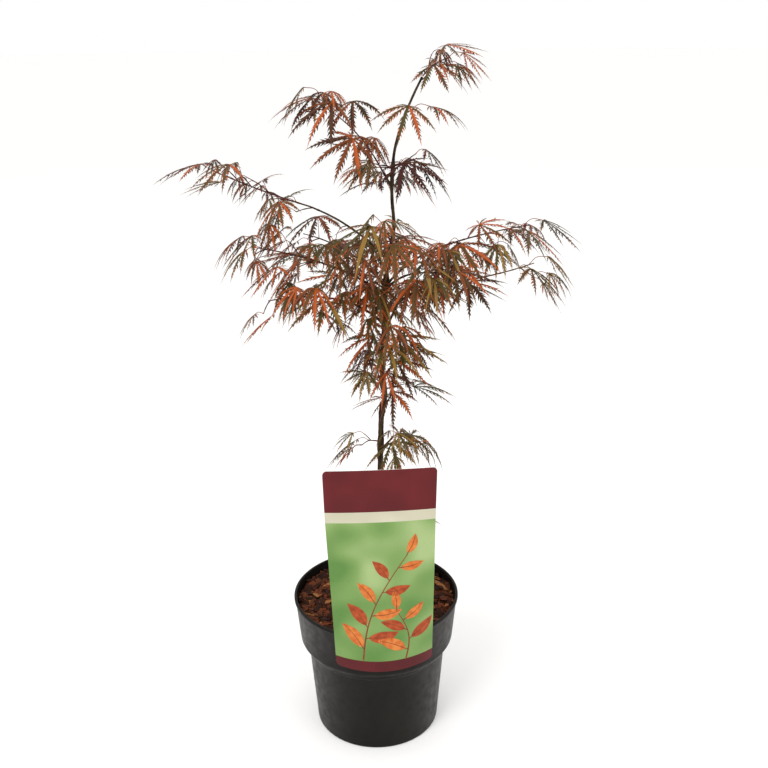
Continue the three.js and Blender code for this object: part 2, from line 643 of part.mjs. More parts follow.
function makeCard() {
  const columns = CARD_COLUMNS;
  const rows = CARD_ROWS;
  const perSheet = (columns + 1) * (rows + 1);
  const positions = [];
  for (const outward of [0, CARD_THICKNESS]) {
    for (let row = 0; row <= rows; row++) {
      for (let column = 0; column <= columns; column++) {
        positions.push(...cardPoint((2 * column) / columns - 1, row / rows, outward));
      }
    }
  }
  const at = (row, column, sheet) => sheet * perSheet + row * (columns + 1) + column;
  const faces = [];
  const quad = (a, b, c, d) => faces.push(a, b, c, a, c, d);
  for (let row = 0; row < rows; row++) {
    for (let column = 0; column < columns; column++) {
      quad(at(row, column, 0), at(row + 1, column, 0), at(row + 1, column + 1, 0), at(row, column + 1, 0));
      quad(at(row, column, 1), at(row, column + 1, 1), at(row + 1, column + 1, 1), at(row + 1, column, 1));
    }
  }
  for (let column = 0; column < columns; column++) {
    quad(at(0, column, 0), at(0, column + 1, 0), at(0, column + 1, 1), at(0, column, 1));
    quad(at(rows, column, 0), at(rows, column, 1), at(rows, column + 1, 1), at(rows, column + 1, 0));
  }
  for (let row = 0; row < rows; row++) {
    quad(at(row, 0, 0), at(row, 0, 1), at(row + 1, 0, 1), at(row + 1, 0, 0));
    quad(at(row, columns, 0), at(row + 1, columns, 0), at(row + 1, columns, 1), at(row, columns, 1));
  }
  const sheet = new THREE.BufferGeometry();
  sheet.setAttribute("position", new THREE.Float32BufferAttribute(positions, 3));
  sheet.setIndex(faces);
  return geometryOf(solidOf(sheet).add(makeTongue()));
}

// The tongue runs back from the card over the rim, and down inside the wall
function makeTongue() {
  const front = CARD_BEND_RADIUS + CARD_THICKNESS / 2;
  const drop = TONGUE_DEPTH / (POT_HEIGHT - COLLAR_FOOT_HEIGHT);
  const innerRadius = THREE.MathUtils.lerp(COLLAR_TOP_RADIUS, COLLAR_FOOT_RADIUS, drop) - POT_WALL;
  const flatRadius = innerRadius * Math.cos(Math.PI / POT_SIDES);
  const insideWall = Math.sqrt(flatRadius ** 2 - (TONGUE_WIDTH / 2) ** 2) - 2 * GAP;
  const top = POT_HEIGHT + GAP;
  const bridge = new THREE.BoxGeometry(TONGUE_WIDTH, front - insideWall + TONGUE_THICKNESS, TONGUE_THICKNESS);
  bridge.translate(0, -(front + insideWall - TONGUE_THICKNESS) / 2, top + TONGUE_THICKNESS / 2);
  const leg = new THREE.BoxGeometry(TONGUE_WIDTH, TONGUE_THICKNESS, TONGUE_DEPTH + TONGUE_THICKNESS);
  leg.translate(0, -(insideWall - TONGUE_THICKNESS / 2), top + (TONGUE_THICKNESS - TONGUE_DEPTH) / 2);
  return solidOf(bridge).add(solidOf(leg));
}

const plant = new THREE.Group();

function addNode(name, geometry, material, solid) {
  const mesh = new THREE.Mesh(geometry, material);
  mesh.name = name;
  plant.add(mesh);
  placed.push({ solid, owner: name });
}

const pot = makePot();
addNode("pot", pot, POT_PLASTIC, solidOf(pot));

const mulch = makeMulch();
addNode("mulch", mulch, MULCH, solidOf(mulch));

const card = makeCard().rotateZ(radians(CARD_YAW));
addNode("card", card, CARD, solidOf(card));

const trunk = trunkSolid(0);
addNode("trunk", geometryOf(trunk), BARK, trunk);
occupyLimb(trunkPath());

const trunkClearance = trunkSolid(GAP);
const limbs = [...BOUGH_LIMBS, ...SPUR_LIMBS];
const layouts = limbs.map((limb, i) => ({ limb, seed: limb.seed ?? SEED + i, ...layOutLimb(limb) }));
for (const layout of layouts) {
  const { limb, bough, stem, footRadius, stemRadius } = layout;
  if (bough) {
    const tube = solidOf(taperedTube(bough, taper(footRadius, stemRadius, bough.length), LIMB_SIDES));
    const seated = wholeBody(tube.subtract(trunkClearance));
    addNode(limb.name + "_bough", geometryOf(seated), BARK, seated);
    occupyLimb(bough);
  }
  layout.twig = makeTwig(layout, trunkClearance);
  placed.push({ solid: layout.twig, owner: limb.name + "_spray" });
  occupyLimb(stem);
}
for (const layout of layouts) {
  const spray = makeSpray(layout);
  addNode(layout.limb.name + "_spray", geometryOf(spray), LEAF, spray);
}

export default plant;
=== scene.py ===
# The looks of the potted cut-leaf maple: its bark, twigs, leaves, pot, mulch and card, with floor, light
# and camera. Lengths are in millimetres, as in the part's source, and become metres where a mesh is made.
# Limbs and leaves grow by the source's own rule, so that every leaf of the solids has its finer leaf here.

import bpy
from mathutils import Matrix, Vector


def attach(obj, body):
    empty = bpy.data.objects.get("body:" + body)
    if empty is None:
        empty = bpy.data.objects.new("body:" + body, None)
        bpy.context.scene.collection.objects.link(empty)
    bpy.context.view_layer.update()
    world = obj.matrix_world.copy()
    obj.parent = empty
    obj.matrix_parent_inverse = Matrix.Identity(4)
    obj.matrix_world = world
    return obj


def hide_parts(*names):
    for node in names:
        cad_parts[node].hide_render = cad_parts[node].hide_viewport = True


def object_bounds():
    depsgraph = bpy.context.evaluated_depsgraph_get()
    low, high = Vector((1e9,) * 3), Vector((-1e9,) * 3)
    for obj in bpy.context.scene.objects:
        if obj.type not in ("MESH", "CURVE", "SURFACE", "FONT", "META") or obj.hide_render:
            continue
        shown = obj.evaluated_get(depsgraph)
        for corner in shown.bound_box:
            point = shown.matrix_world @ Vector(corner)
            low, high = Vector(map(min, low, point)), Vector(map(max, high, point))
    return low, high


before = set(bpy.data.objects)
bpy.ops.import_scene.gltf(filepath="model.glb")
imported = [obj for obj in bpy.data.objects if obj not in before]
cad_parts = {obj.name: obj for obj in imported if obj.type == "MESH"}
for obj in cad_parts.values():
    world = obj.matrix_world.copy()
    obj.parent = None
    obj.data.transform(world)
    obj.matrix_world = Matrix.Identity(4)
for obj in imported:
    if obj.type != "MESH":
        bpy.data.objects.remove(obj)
cad_box = [list(corner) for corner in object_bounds()]

import math

import bmesh
import bpy
import numpy as np
from mathutils import Euler, Matrix, Vector

MM = 0.001
GAP = 0.3
MERGE_GAP = 1e-4
TANGENT_STEP = 1e-4
LENGTH_STEPS = 200

# Pot
POT_HEIGHT = 165
POT_BASE_RADIUS = 72
POT_BODY_RADIUS = 79.6
POT_SHOULDER_HEIGHT = 98
SHOULDER_STEPS = 8
SHOULDER_POWER = 0.8
COLLAR_FOOT_RADIUS = 89
COLLAR_FOOT_HEIGHT = 114
COLLAR_TOP_RADIUS = 93.6
LIP_RADIUS = 95
LIP_DEPTH = 4
LIP_NECK = ((-0.1, -0.4), (0.2, 0))
RIM_ROUND = 0.6
POT_WALL = 1.6
POT_FLOOR = 4
POT_EDGE = 2.5
POT_SIDES = 144
SOLID_POT_SIDES = 36
POT_SHARP_ANGLE = 38
POT_SHEEN = (1, 0.92, 0.82, 1)
FOOT_RING_WIDTH = 7
FOOT_RECESS = 1.8
FOOT_RING_SLOPE = ((-1.5, FOOT_RECESS), (0, 0.3), (0.5, 0))

# Mulch: its surface, and the bark chips that lie on it
MULCH_EDGE_HEIGHT = 151
MULCH_CROWN_HEIGHT = 153
CHIP_SEED = 11
CHIP_COUNT = 2600
CHIP_LENGTHS = (5, 26)
CHIP_LENGTH_POWER = 1.8
CHIP_SLIMNESS = (0.16, 0.42)
CHIP_LEAST_WIDTH = 0.8
CHIP_THICKNESSES = (0.7, 2.6)
CHIP_CORNERS = 7
CHIP_CORNER_TURN = 0.3
CHIP_CORNER_REACH = (0.75, 1.1)
CHIP_LAYERS = ((-0.5, 0.8), (0.1, 1), (0.5, 0.72))
CHIP_LAYER_SHIFT = 0.03
CHIP_LAYER_RISE = (0.7, 1.2)
CHIP_BEND = 0.006
CHIP_LIFT = 0.8
CHIP_PILE = 5.5
CHIP_PILE_RANGE = (0.5, 1)
CHIP_TILT = 12
STEM_CLEARANCE = 10
# Each kind's share of the chips, with its dark and light colours
CHIP_KINDS = {
    "chips_dark": (0.36, "1e100b", "3d2216"),
    "chips_brown": (0.34, "3a1e12", "6a3a22"),
    "chips_red": (0.22, "4d2414", "874426"),
    "chips_pale": (0.08, "6b4227", "a8703f"),
}

# Trunk
TRUNK_FOOT = MULCH_CROWN_HEIGHT + GAP
TRUNK_TOP = 738
TRUNK_FOOT_X = 5
TRUNK_LEAN = 14
TRUNK_LEAN_HEIGHT = 450
TRUNK_LEAN_POWER = 2.2
TRUNK_SWAY = 3
TRUNK_SWAY_LENGTH = 110
TRUNK_KINKS = ({"height": 406, "reach": 3.5, "length": 13}, {"height": 590, "reach": 5, "length": 26})
LEADER_BEND_HEIGHT = 660
LEADER_BEND_REACH = 22
LEADER_BEND_POWER = 1.6
TRUNK_FOOT_RADIUS = 4.6
TRUNK_TOP_RADIUS = 1.3
TRUNK_TAPER_POWER = 1.15
ROOT_FLARE = 3.4
ROOT_FLARE_LENGTH = 11
TRUNK_SINK = 2
TRUNK_STEPS = 24
TRUNK_STEP_POWER = 1.25

# Limbs
BOUGH_FOOT_RADIUS = 2.2
BOUGH_FOOT_SHARE = 0.75
BOUGH_TIP_SHARE = 0.68
SPUR_FOOT_RADIUS = 1.3
LIMB_STEPS = 4

# Bark: its mesh is a little slimmer than the solids' limbs, and its relief is in shares of their radius
BARK_SEED = 5
BARK_SHARE = 0.8
BOUGH_BARK_SHARE = 0.7
TRUNK_SIDES = 36
TRUNK_ROW = 0.9
TRUNK_ROOT_DEPTH = 1.2
FURROWS = {"height": 0.045, "length": 26}
GRAIN = {"height": 0.018, "length": 3}
COLLAR = {"height": 0.3, "length": 4.5, "lift": 1}
SCAR = {"height": 0.09, "length": 1.3, "start": 24, "spacing": 31}
BOUGH_SIDES = 14
BOUGH_ROW = 1
BOUGH_FURROWS = {"height": 0.05, "length": 9}
BOUGH_COLLAR = {"height": 0.45, "length": 6}
BOUGH_NODE = {"height": 0.16, "length": 1.1, "start": 13, "spacing": 19}
LEAST_ROWS = 6
TUBE_NORMAL = (0.36, 0.48, 0.8)
TUBE_END = 0.6

# Twigs and the shown leaf stalks
TWIG_SIDES = 8
TWIG_ROW = 1.6
TWIG_RADII = (0.62, 0.4)
TWIG_NODE = {"height": 0.3, "length": 1.2}
TWIG_NODE_SPACING = 9
STEM_TIP_RADIUS = 0.5
STEM_NODE_SPACING = 14
STALK_SIDES = 5
STALK_ROW = 3.2
STALK_RADIUS = 0.34
STALK_FOOT_SWELL = (0.28, 14)
STALK_HEAD_SWELL = (0.1, 20)

# Leaf stalks
STALK_ANGLE = 52
STALK_ANGLE_RANGE = (0.75, 1.25)
STALK_LIFT = 0.45
STALK_ARCH = 0.45
STALK_LENGTH_RANGE = (0.3, 0.52)
PAIR_PLACES = (0.5, 0.3)
PAIR_TURN = (12, 52)
PAIR_TURN_SPREAD = 50
TIP_LEAF = {"share": 0.94, "turn": 90, "angle": 8}

# Leaves
SIZE_RANGE = (0.88, 1.12)
HEADING_SPREAD = 40
ROLL_SPREAD = 60
SEVEN_LOBE_PAIRS = 6
LOBE_SHARES = (1, 0.94, 0.8, 0.54)
LOBE_SHARE_RANGE = (0.9, 1.1)
HABIT = {"tilt": (4, 42), "droop": (0.2, 0.6), "spacing": 33}
LOBE_SWING_SPREAD = 9
LOBE_TWIST_SPREAD = 50

# Room between limbs and leaves
LEAF_CLEARANCE = 7
LIMB_CLEARANCE = 6
LIMB_SAMPLE_SPACING = 6
LEAF_TRIES = 14
SHRINK_PER_TRY = 0.02
RIB_SAMPLES = 7
SEED = 2

# Finer twigs and younger leaves, which fill the crown between the solids' leaves and stay close to them.
# Round the trunk, where the boughs meet, they may stand further from those leaves.
FINER_SEED = 300
FINER_TWIG_SPACING = 6
FINER_BOUGH_SHARE = 0.45
FINER_TWIG_LENGTHS = (8, 30)
FINER_TWIG_ANGLES = (24, 66)
FINER_TWIG_FALL = 20
FINER_LEAVES_PER_TWIG = 3
FINER_LEAF_PLACE = 0.97
FINER_LEAF_PLACE_RANGE = 0.45
FINER_LEAF_SHARES = (0.75, 1)
FINER_TRIES = 36
FINER_SHRINK_PER_TRY = 0.01
FINER_CLEARANCE = 2.6
FINER_HABIT = {"tilt": (12, 58), "droop": (0.4, 0.85), "spacing": 28}
FINER_REACH = 14
CORE_HEIGHTS = (470, 590)
CORE_RADIUS = 70
CORE_REACH = 26
CELL = 1.8

# Leaf blades: a lobe is a slender axis with forward-pointing lobules, longest near its middle
LEAF_SEED = 17
AXIS_STATIONS = 10
AXIS_PROFILE = (
    (0, 0.013), (0.1, 0.02), (0.3, 0.032), (0.5, 0.033),
    (0.65, 0.025), (0.8, 0.015), (0.92, 0.008), (1, 0.002),
)
AXIS_FOLD = 0.45
LOBULE_PAIRS = 9
LOBULE_SPAN = (0.1, 0.78)
LOBULE_SHIFT = 0.3
LOBULE_STAGGER = 0.132
LOBULE_PLACE_SPREAD = 0.012
LOBULE_PROFILE = (
    (0, 0.03), (0.12, 0.07), (0.28, 0.11), (0.46, 0.13), (0.62, 0.11), (0.74, 0.08), (1, 0.03),
)
LOBULE_LENGTH_RANGE = (0.8, 1.15)
LOBULE_ANGLES = (42, 22)
LOBULE_ANGLE_SPREAD = 6
LOBULE_LIFTS = (-0.3, 0.2)
LOBULE_ROOT = 0.4
# A lobule's corners in shares of its length: along it, across it toward the hub, and along the lobe
LOBULE_CORNERS = (
    (0, 0.17, 0), (0.4, 0.15, 0), (0.66, 0.09, 0), (1, 0, 0.06), (0.52, -0.1, 0), (0, -0.17, 0.05),
)
LOBULE_TRIANGLES = np.array(((0, 1, 4), (0, 4, 5), (1, 2, 4), (2, 3, 4)))
BASAL_SHARE = 0.36
BASAL_RANGE = (0.7, 1.1)
WEB_ALONG = 0.09
WEB_HALF_WIDTH = 0.02

# Each limb leaves the trunk at a height and a heading, seen from above with 0 along +X and 270 to the
# front. A short limb has no bough, so nothing bare: its leafy stem starts on the trunk itself. Fullness is
# how many finer twigs it has against its length. The tints are those of its leaves, or of its inner and of
# its outer ones.
LIMB_FIELDS = (
    "name", "at", "heading", "bare", "bare_rise", "leafy", "leafy_rise",
    "pairs", "lobe", "seed", "fullness", "tints",
)
LIMB_ROWS = (
    ("left_upper", 556, 178, 96, (50, 22), 104, (17, 24), 3, 50, 13, 1.3, "warm"),
    ("left_middle", 520, 187, 76, (38, 20), 72, (20, 10), 3, 60, 8, 0.8, "flame"),
    ("left_front", 488, 206, 62, (46, 20), 76, (16, -4), 3, 62, None, 2.1, "blaze"),
    ("right_upper", 530, 3, 66, (50, 22), 96, (18, 8), 4, 58, 3, 0.6, "mixed flame"),
    ("right_lower", 496, 357, 76, (52, 8), 92, (6, 20), 4, 56, 20, 0.2, "warm gold"),
    ("right_front", 526, 318, 44, (44, 18), 42, (14, 4), 3, 58, 35, 0.15, "flame"),
    ("front", 566, 272, 26, (44, 24), 34, (20, 0), 2, 64, 5, 1.4, "flame"),
    ("back_left", 528, 138, 60, (40, 20), 70, (16, 2), 2, 60, None, 0.5, "mixed"),
    ("back_right", 472, 68, 58, (42, 20), 84, (16, 2), 2, 60, None, 0.3, "warm"),
    ("back", 538, 92, 44, (40, 16), 60, (12, 0), 2, 60, None, 0.4, "warm"),
    ("top_left", 632, 181, 36, (60, 60), 66, (58, 32), 3, 56, 26, 0.1, "mixed warm"),
    ("leader", TRUNK_TOP, 8, 0, None, 32, (54, 10), 2, 47, 11, 0.2, "warm"),
    ("centre_left", 535, 214, 0, None, 46, (30, 0), 1, 60, 14, 2.5, "flame"),
    ("centre_right", 506, 300, 0, None, 40, (40, 8), 1, 62, None, 0.8, "flame"),
    ("front_low", 468, 275, 0, None, 36, (35, 0), 1, 56, 17, 0.4, "dark"),
    ("leader_side", 704, 310, 0, None, 17, (20, 10), 1, 50, None, 0.2, "warm"),
    ("upper_right", 652, 345, 0, None, 16, (25, 5), 1, 56, None, 0.6, "dark"),
    ("upper_left", 650, 225, 0, None, 20, (30, 0), 1, 54, None, 2.4, "dark"),
    ("upper_back", 638, 80, 0, None, 14, (25, 5), 1, 56, 5, 0.8, "dark"),
    ("middle_right", 446, 350, 0, None, 18, (20, 0), 1, 54, None, 0.3, "dark"),
    ("middle_left", 440, 185, 0, None, 20, (15, 0), 1, 48, None, 0.2, "mixed"),
    ("lower_right", 414, 335, 0, None, 22, (25, 5), 1, 54, None, 0.8, "dark"),
    ("lower_left", 420, 190, 0, None, 20, (20, 0), 1, 44, None, 0.3, "mixed"),
    ("low_right", 344, 5, 0, None, 20, (30, 15), 1, 52, 30, 3.2, "mixed"),
    ("low_left", 352, 188, 0, None, 14, (20, 0), 0, 50, None, 0.8, "mixed"),
    ("low_back", 386, 95, 0, None, 16, (25, 5), 0, 52, None, 1, "dark"),
    ("foot", 272, 20, 0, None, 22, (25, 10), 1, 50, None, 4, "mixed"),
)

# The leaves' plain colours, each with the colour of its lobes' axes and that of their outer ends
TINTS = {
    "ember": ("a55023", "bronze", "rust"),
    "rust": ("733d1c", "ember", "russet"),
    "russet": ("4a2e19", "rust", "wine"),
    "wine": ("401d17", "russet", "maroon"),
    "maroon": ("28140f", "wine", "maroon"),
    "bronze": ("584020", "olive", "ember"),
    "umber": ("392918", "bronze", "rust"),
    "olive": ("4a4220", "gold", "bronze"),
    "gold": ("86662e", "olive", "ember"),
}
# What each kind of spray draws its leaves' colours from, a name as often as it is listed
PALETTES = {
    "blaze": "ember ember rust rust russet bronze",
    "flame": "ember ember ember rust rust russet bronze bronze umber olive",
    "warm": "rust ember ember russet bronze bronze umber umber wine",
    "mixed": "bronze bronze umber olive olive rust russet",
    "gold": "gold bronze ember rust",
    "dark": "wine maroon russet umber umber bronze olive",
}
OUTER_LEAF_SHARE = 0.6
END_ALONG = 0.55
LOBE_TINT_CHANCES = (0.46, 0.28, 0.26)

# Card
CARD_YAW = 6.5
CARD_TWIST = -2.5
CARD_HEAD_WIDTH = 117
CARD_FOOT_WIDTH = 106
CARD_FOOT_HEIGHT = 124.5
CARD_HEAD_HEIGHT = 363.5
CARD_LENGTH = CARD_HEAD_HEIGHT - CARD_FOOT_HEIGHT
CARD_FOOT_BOW = 2.5
CARD_THICKNESS = 0.8
CARD_BEND_RADIUS = LIP_RADIUS + 0.5
CARD_HEAD_BEND = 0.1
CARD_BEND_FADE = 1.3
CARD_CORNER = 5
CARD_CORNER_ROWS = 7
CARD_COLUMNS = 40
CARD_ROWS = (0.05, 0.95, 37)
CARD_LEAST_ROW = 1e-3
CARD_SHARP_ANGLE = 40
CARD_INSET = 0.1
TONGUE_WIDTH = 24
TONGUE_DEPTH = 10
TONGUE_THICKNESS = 1
TONGUE_SHEET = 0.7
TONGUE_FOLD = 1.2
TONGUE_FOLD_ANGLES = (0, 0.4, 0.8, 1.2, 1.57)
# The card's bands: where each ends as a share of its height, its colours, and the size of their pattern
CARD_BANDS = (
    ("card_foot", 0.055, ((0.3, "4b0f14"), (0.7, "571318")), 30),
    ("card_field", 0.755, ((0.32, "547a3b"), (0.5, "718f50"), (0.68, "97ab74")), 55),
    ("card_strip", 0.805, ((0.3, "b2ae98"), (0.7, "bcb8a2")), 30),
    ("card_head", 1, ((0.3, "511015"), (0.7, "5e1519")), 30),
)
CARD_STOCK = ("card_stock", ((0.3, "dcdad2"), (0.7, "e8e6df")), 30)
PRINT_TINTS = {
    "print_orange": ((0.3, "b0551f"), (0.7, "c97838")),
    "print_rust": ((0.3, "8a3417"), (0.7, "a94c22")),
    "print_stems": ((0.3, "6e3018"), (0.7, "7f3d20")),
}
PRINT_GRAIN = 6
PRINT_BRANCHES = (
    {"start": (-24, 14), "end": (26, 140), "arch": -12, "leaves": 9},
    {"start": (22, 12), "end": (14, 74), "arch": 8, "leaves": 5},
)
PRINT_BRANCH_STATIONS = 25
PRINT_BRANCH_HALF_WIDTHS = (0.9, 0.4)
PRINT_LEAF_STATIONS = 15
PRINT_LEAF_LENGTHS = (24, 36)
PRINT_LEAF_ANGLE = 58
PRINT_LEAF_SLIMNESS = 0.21
PRINT_LEAF_POWERS = (0.85, 0.9)
PRINT_LEAF_BOW = 0.06
PRINT_RIB_HALF_WIDTHS = (0.5, 0.2)
PRINT_STALK = 3
PRINT_LAYERS = {"branch": 0.06, "leaf": 0.1, "rib": 0.16}

# The stretch of a pattern's values that a roughness follows
PATTERN_SPAN = (0.3, 0.7)

# Stage, in metres and watts
FLOOR_RADIUS = 30
FLOOR_SIDES = 96
FLOOR_GLOW = 0.1
# Each light's place, target, size and power
LIGHTS = (
    ("key", (-1.1, -1.7, 2.0), (0, 0, 0.45), 1.2, 30),
    ("fill", (1.6, -1.3, 1.3), (0, 0, 0.4), 1.4, 8),
)

# Camera
CAMERA_PLACE = (11.6, -1013.4, 788.0)
CAMERA_PITCH = 19.92
CAMERA_ROLL = -0.57
CAMERA_LENS = 46.875
CAMERA_SENSOR = 36
CAMERA_CLIP = (0.05, 80)


# Small vector maths

UP = np.array((0.0, 0.0, 1.0))
DOWN = -UP


def unit(vector):
    return vector / np.sqrt((vector * vector).sum(-1, keepdims=True))


def lerp(start, end, share):
    return start + (end - start) * share


def direction(heading, rise):
    """A unit vector with a heading round +Z and a rise above the level, in degrees."""
    heading, rise = math.radians(heading), math.radians(rise)
    flat = math.cos(rise)
    return np.array((flat * math.cos(heading), flat * math.sin(heading), math.sin(rise)))


def turned(vector, axis, angle):
    """Vectors turned about unit axes by angles in radians."""
    angle = np.asarray(angle, dtype=float)[..., None]
    along = (vector * axis).sum(-1, keepdims=True)
    cosine, sine = np.cos(angle), np.sin(angle)
    return vector * cosine + np.cross(axis, vector) * sine + axis * along * (1 - cosine)


def seeded(seed):
    """Seeded numbers from 0 to 1, the same as the source's."""
    state = seed & 0xFFFFFFFF

    def draw():
        nonlocal state
        state = (state + 0x6D2B79F5) & 0xFFFFFFFF
        mixed = ((state ^ (state >> 15)) * (state | 1)) & 0xFFFFFFFF
        mixed ^= (mixed + ((mixed ^ (mixed >> 7)) * (mixed | 61))) & 0xFFFFFFFF
        return (mixed ^ (mixed >> 14)) / 2**32

    return draw


def within(bounds, draw):
    return lerp(bounds[0], bounds[1], draw())


def spread(width, draw):
    return width * (draw() - 0.5)


class SmoothCurve:
    """A centripetal Catmull-Rom curve through a row of points."""

    def __init__(self, points):
        self.points = np.array(points, dtype=float)

    def point(self, share):
        points = self.points
        last = len(points) - 1
        index = min(int(last * share), last - 1)
        weight = last * share - index
        second, third = points[index], points[index + 1]
        first = points[index - 1] if index > 0 else 2 * points[0] - points[1]
        fourth = points[index + 2] if index + 2 <= last else 2 * points[last] - points[last - 1]
        spans = (second - first, third - second, fourth - third)
        before, here, after = ((span @ span) ** 0.25 for span in spans)
        start = (second - first) / before - (third - first) / (before + here) + (third - second) / here
        end = (third - second) / here - (fourth - second) / (here + after) + (fourth - third) / after
        start, end = start * here, end * here
        square = -3 * second + 3 * third - 2 * start - end
        cube = 2 * second - 2 * third + start + end
        return second + weight * (start + weight * (square + weight * cube))

    def tangent(self, share):
        return unit(self.point(min(1, share + TANGENT_STEP)) - self.point(max(0, share - TANGENT_STEP)))

    def length(self):
        row = np.array([self.point(i / LENGTH_STEPS) for i in range(LENGTH_STEPS + 1)])
        return np.sqrt(((row[1:] - row[:-1]) ** 2).sum(1)).sum()


class Rib:
    """A lobe's rib: a quadratic curve from the hub."""

    def __init__(self, hub, middle, tip):
        self.hub, self.middle, self.tip = hub, middle, tip

    def point(self, share):
        share = np.asarray(share, dtype=float)[..., None]
        return (1 - share) ** 2 * self.hub + 2 * share * (1 - share) * self.middle + share**2 * self.tip

    def tangent(self, share):
        share = np.asarray(share, dtype=float)[..., None]
        return unit((1 - share) * (self.middle - self.hub) + share * (self.tip - self.middle))


# Trunk and limbs, by the source's rule


def trunk_point(height):
    above = height - MULCH_CROWN_HEIGHT
    x = TRUNK_FOOT_X + TRUNK_LEAN * (max(0, above) / TRUNK_LEAN_HEIGHT) ** TRUNK_LEAN_POWER
    for kink in TRUNK_KINKS:
        x += kink["reach"] * math.exp(-(((height - kink["height"]) / kink["length"]) ** 2))
    bend_share = max(0, height - LEADER_BEND_HEIGHT) / (TRUNK_TOP - LEADER_BEND_HEIGHT)
    x += LEADER_BEND_REACH * bend_share**LEADER_BEND_POWER
    return np.array((x, TRUNK_SWAY * math.sin(above / TRUNK_SWAY_LENGTH), height))


def trunk_radius(height):
    share = (height - TRUNK_FOOT) / (TRUNK_TOP - TRUNK_FOOT)
    flare = ROOT_FLARE * math.exp(-(height - TRUNK_FOOT) / ROOT_FLARE_LENGTH)
    return lerp(TRUNK_FOOT_RADIUS, TRUNK_TOP_RADIUS, share**TRUNK_TAPER_POWER) + flare


def trunk_path():
    shares = [(step / TRUNK_STEPS) ** TRUNK_STEP_POWER for step in range(TRUNK_STEPS + 1)]
    return [trunk_point(lerp(TRUNK_FOOT - TRUNK_SINK, TRUNK_TOP, share)) for share in shares]


def limb_path(start, heading, rises, length):
    """A row of points from a start, whose rise runs from one angle to another."""
    points = [start]
    for step in range(LIMB_STEPS):
        rise = lerp(*rises, (step + 0.5) / LIMB_STEPS)
        points.append(points[-1] + direction(heading, rise) * length / LIMB_STEPS)
    return points


def lay_out_limb(limb):
    """A limb's points and radii: its bough's, if it has one, and its leafy stem's."""
    start = trunk_point(limb["at"])
    foot_radius = min(BOUGH_FOOT_RADIUS, BOUGH_FOOT_SHARE * trunk_radius(limb["at"]))
    bough, joint, stem_radius = None, start, min(SPUR_FOOT_RADIUS, foot_radius)
    if limb["bare"]:
        bough = limb_path(start, limb["heading"], limb["bare_rise"], limb["bare"])
        joint = bough[-1] + direction(limb["heading"], limb["leafy_rise"][0]) * GAP
        stem_radius = foot_radius * BOUGH_TIP_SHARE
    stem = limb_path(joint, limb["heading"], limb["leafy_rise"], limb["leafy"])
    return {"bough": bough, "stem": stem, "foot_radius": foot_radius, "stem_radius": stem_radius}


def leaf_places(pairs):
    """Where a stem's leaves stand: opposite pairs, each pair turned from the last, and one at the tip."""
    places = []
    for pair in range(pairs):
        share = (pair + PAIR_PLACES[0]) / (pairs + PAIR_PLACES[1])
        turn = PAIR_TURN[0] + PAIR_TURN[1] * pair
        places += [{"share": share, "turn": side, "angle": STALK_ANGLE} for side in (turn, turn + 180)]
    return places + [TIP_LEAF]


def leaving(along, angle, turn):
    """A direction at an angle from a stem's own, turned round it."""
    across = unit(np.cross(along, UP))
    over = unit(np.cross(across, along))
    return along * math.cos(angle) + math.sin(angle) * (across * math.cos(turn) + over * math.sin(turn))


class Leaf:
    """A leaf at its place: its stalk leaves the stem and arches over, and its blade follows."""

    def __init__(self, lobe, pairs, curve, place, draw, shrink, habit=HABIT):
        turn = math.radians(place["turn"] + spread(PAIR_TURN_SPREAD, draw))
        angle = math.radians(place["angle"] * within(STALK_ANGLE_RANGE, draw))
        self.root = curve.point(place["share"])
        out = leaving(curve.tangent(place["share"]), angle, turn)
        self.size = lobe * within(SIZE_RANGE, draw) * shrink
        length = self.size * within(STALK_LENGTH_RANGE, draw)
        lifted = unit(out + UP * STALK_LIFT)
        arched = unit(out + DOWN * STALK_ARCH)
        self.middle = self.root + lifted * length / 2
        self.hub = self.middle + arched * length / 2
        heading = math.degrees(math.atan2(lifted[1], lifted[0])) + spread(HEADING_SPREAD, draw)
        self.forward = direction(heading, -within(habit["tilt"], draw))
        roll = math.radians(spread(ROLL_SPREAD, draw))
        self.side = turned(direction(heading + 90, 0), self.forward, roll)
        self.droop = within(habit["droop"], draw)
        self.spacing = habit["spacing"]
        outer = 3 if draw() < pairs / SEVEN_LOBE_PAIRS else 2
        self.lobes = []
        for place in range(-outer, outer + 1):
            swing = self.spacing * place + spread(LOBE_SWING_SPREAD, draw)
            lobe_length = self.size * LOBE_SHARES[abs(place)] * within(LOBE_SHARE_RANGE, draw)
            twist = math.radians(spread(LOBE_TWIST_SPREAD, draw))
            self.lobes.append(self.lobe(swing, lobe_length, twist))

    def in_plane(self, swing):
        swing = math.radians(swing)
        return self.forward * math.cos(swing) + self.side * math.sin(swing)

    def lobe(self, swing, length, twist):
        """A lobe's rib leaves the hub in the leaf's plane and bends down over its length."""
        start = self.in_plane(swing)
        end = unit(start * (1 - self.droop) + DOWN * self.droop)
        middle = self.hub + start * length / 2
        rib = Rib(self.hub, middle, middle + end * length / 2)
        across = self.in_plane(swing + 90)
        return {"swing": swing, "length": length, "rib": rib, "across": across, "twist": twist}

    def samples(self):
        """Points along the stalk and ribs, by which leaves are kept apart."""
        shares = np.arange(1, RIB_SAMPLES + 1) / RIB_SAMPLES
        return np.vstack([self.middle, self.hub] + [lobe["rib"].point(shares) for lobe in self.lobes])


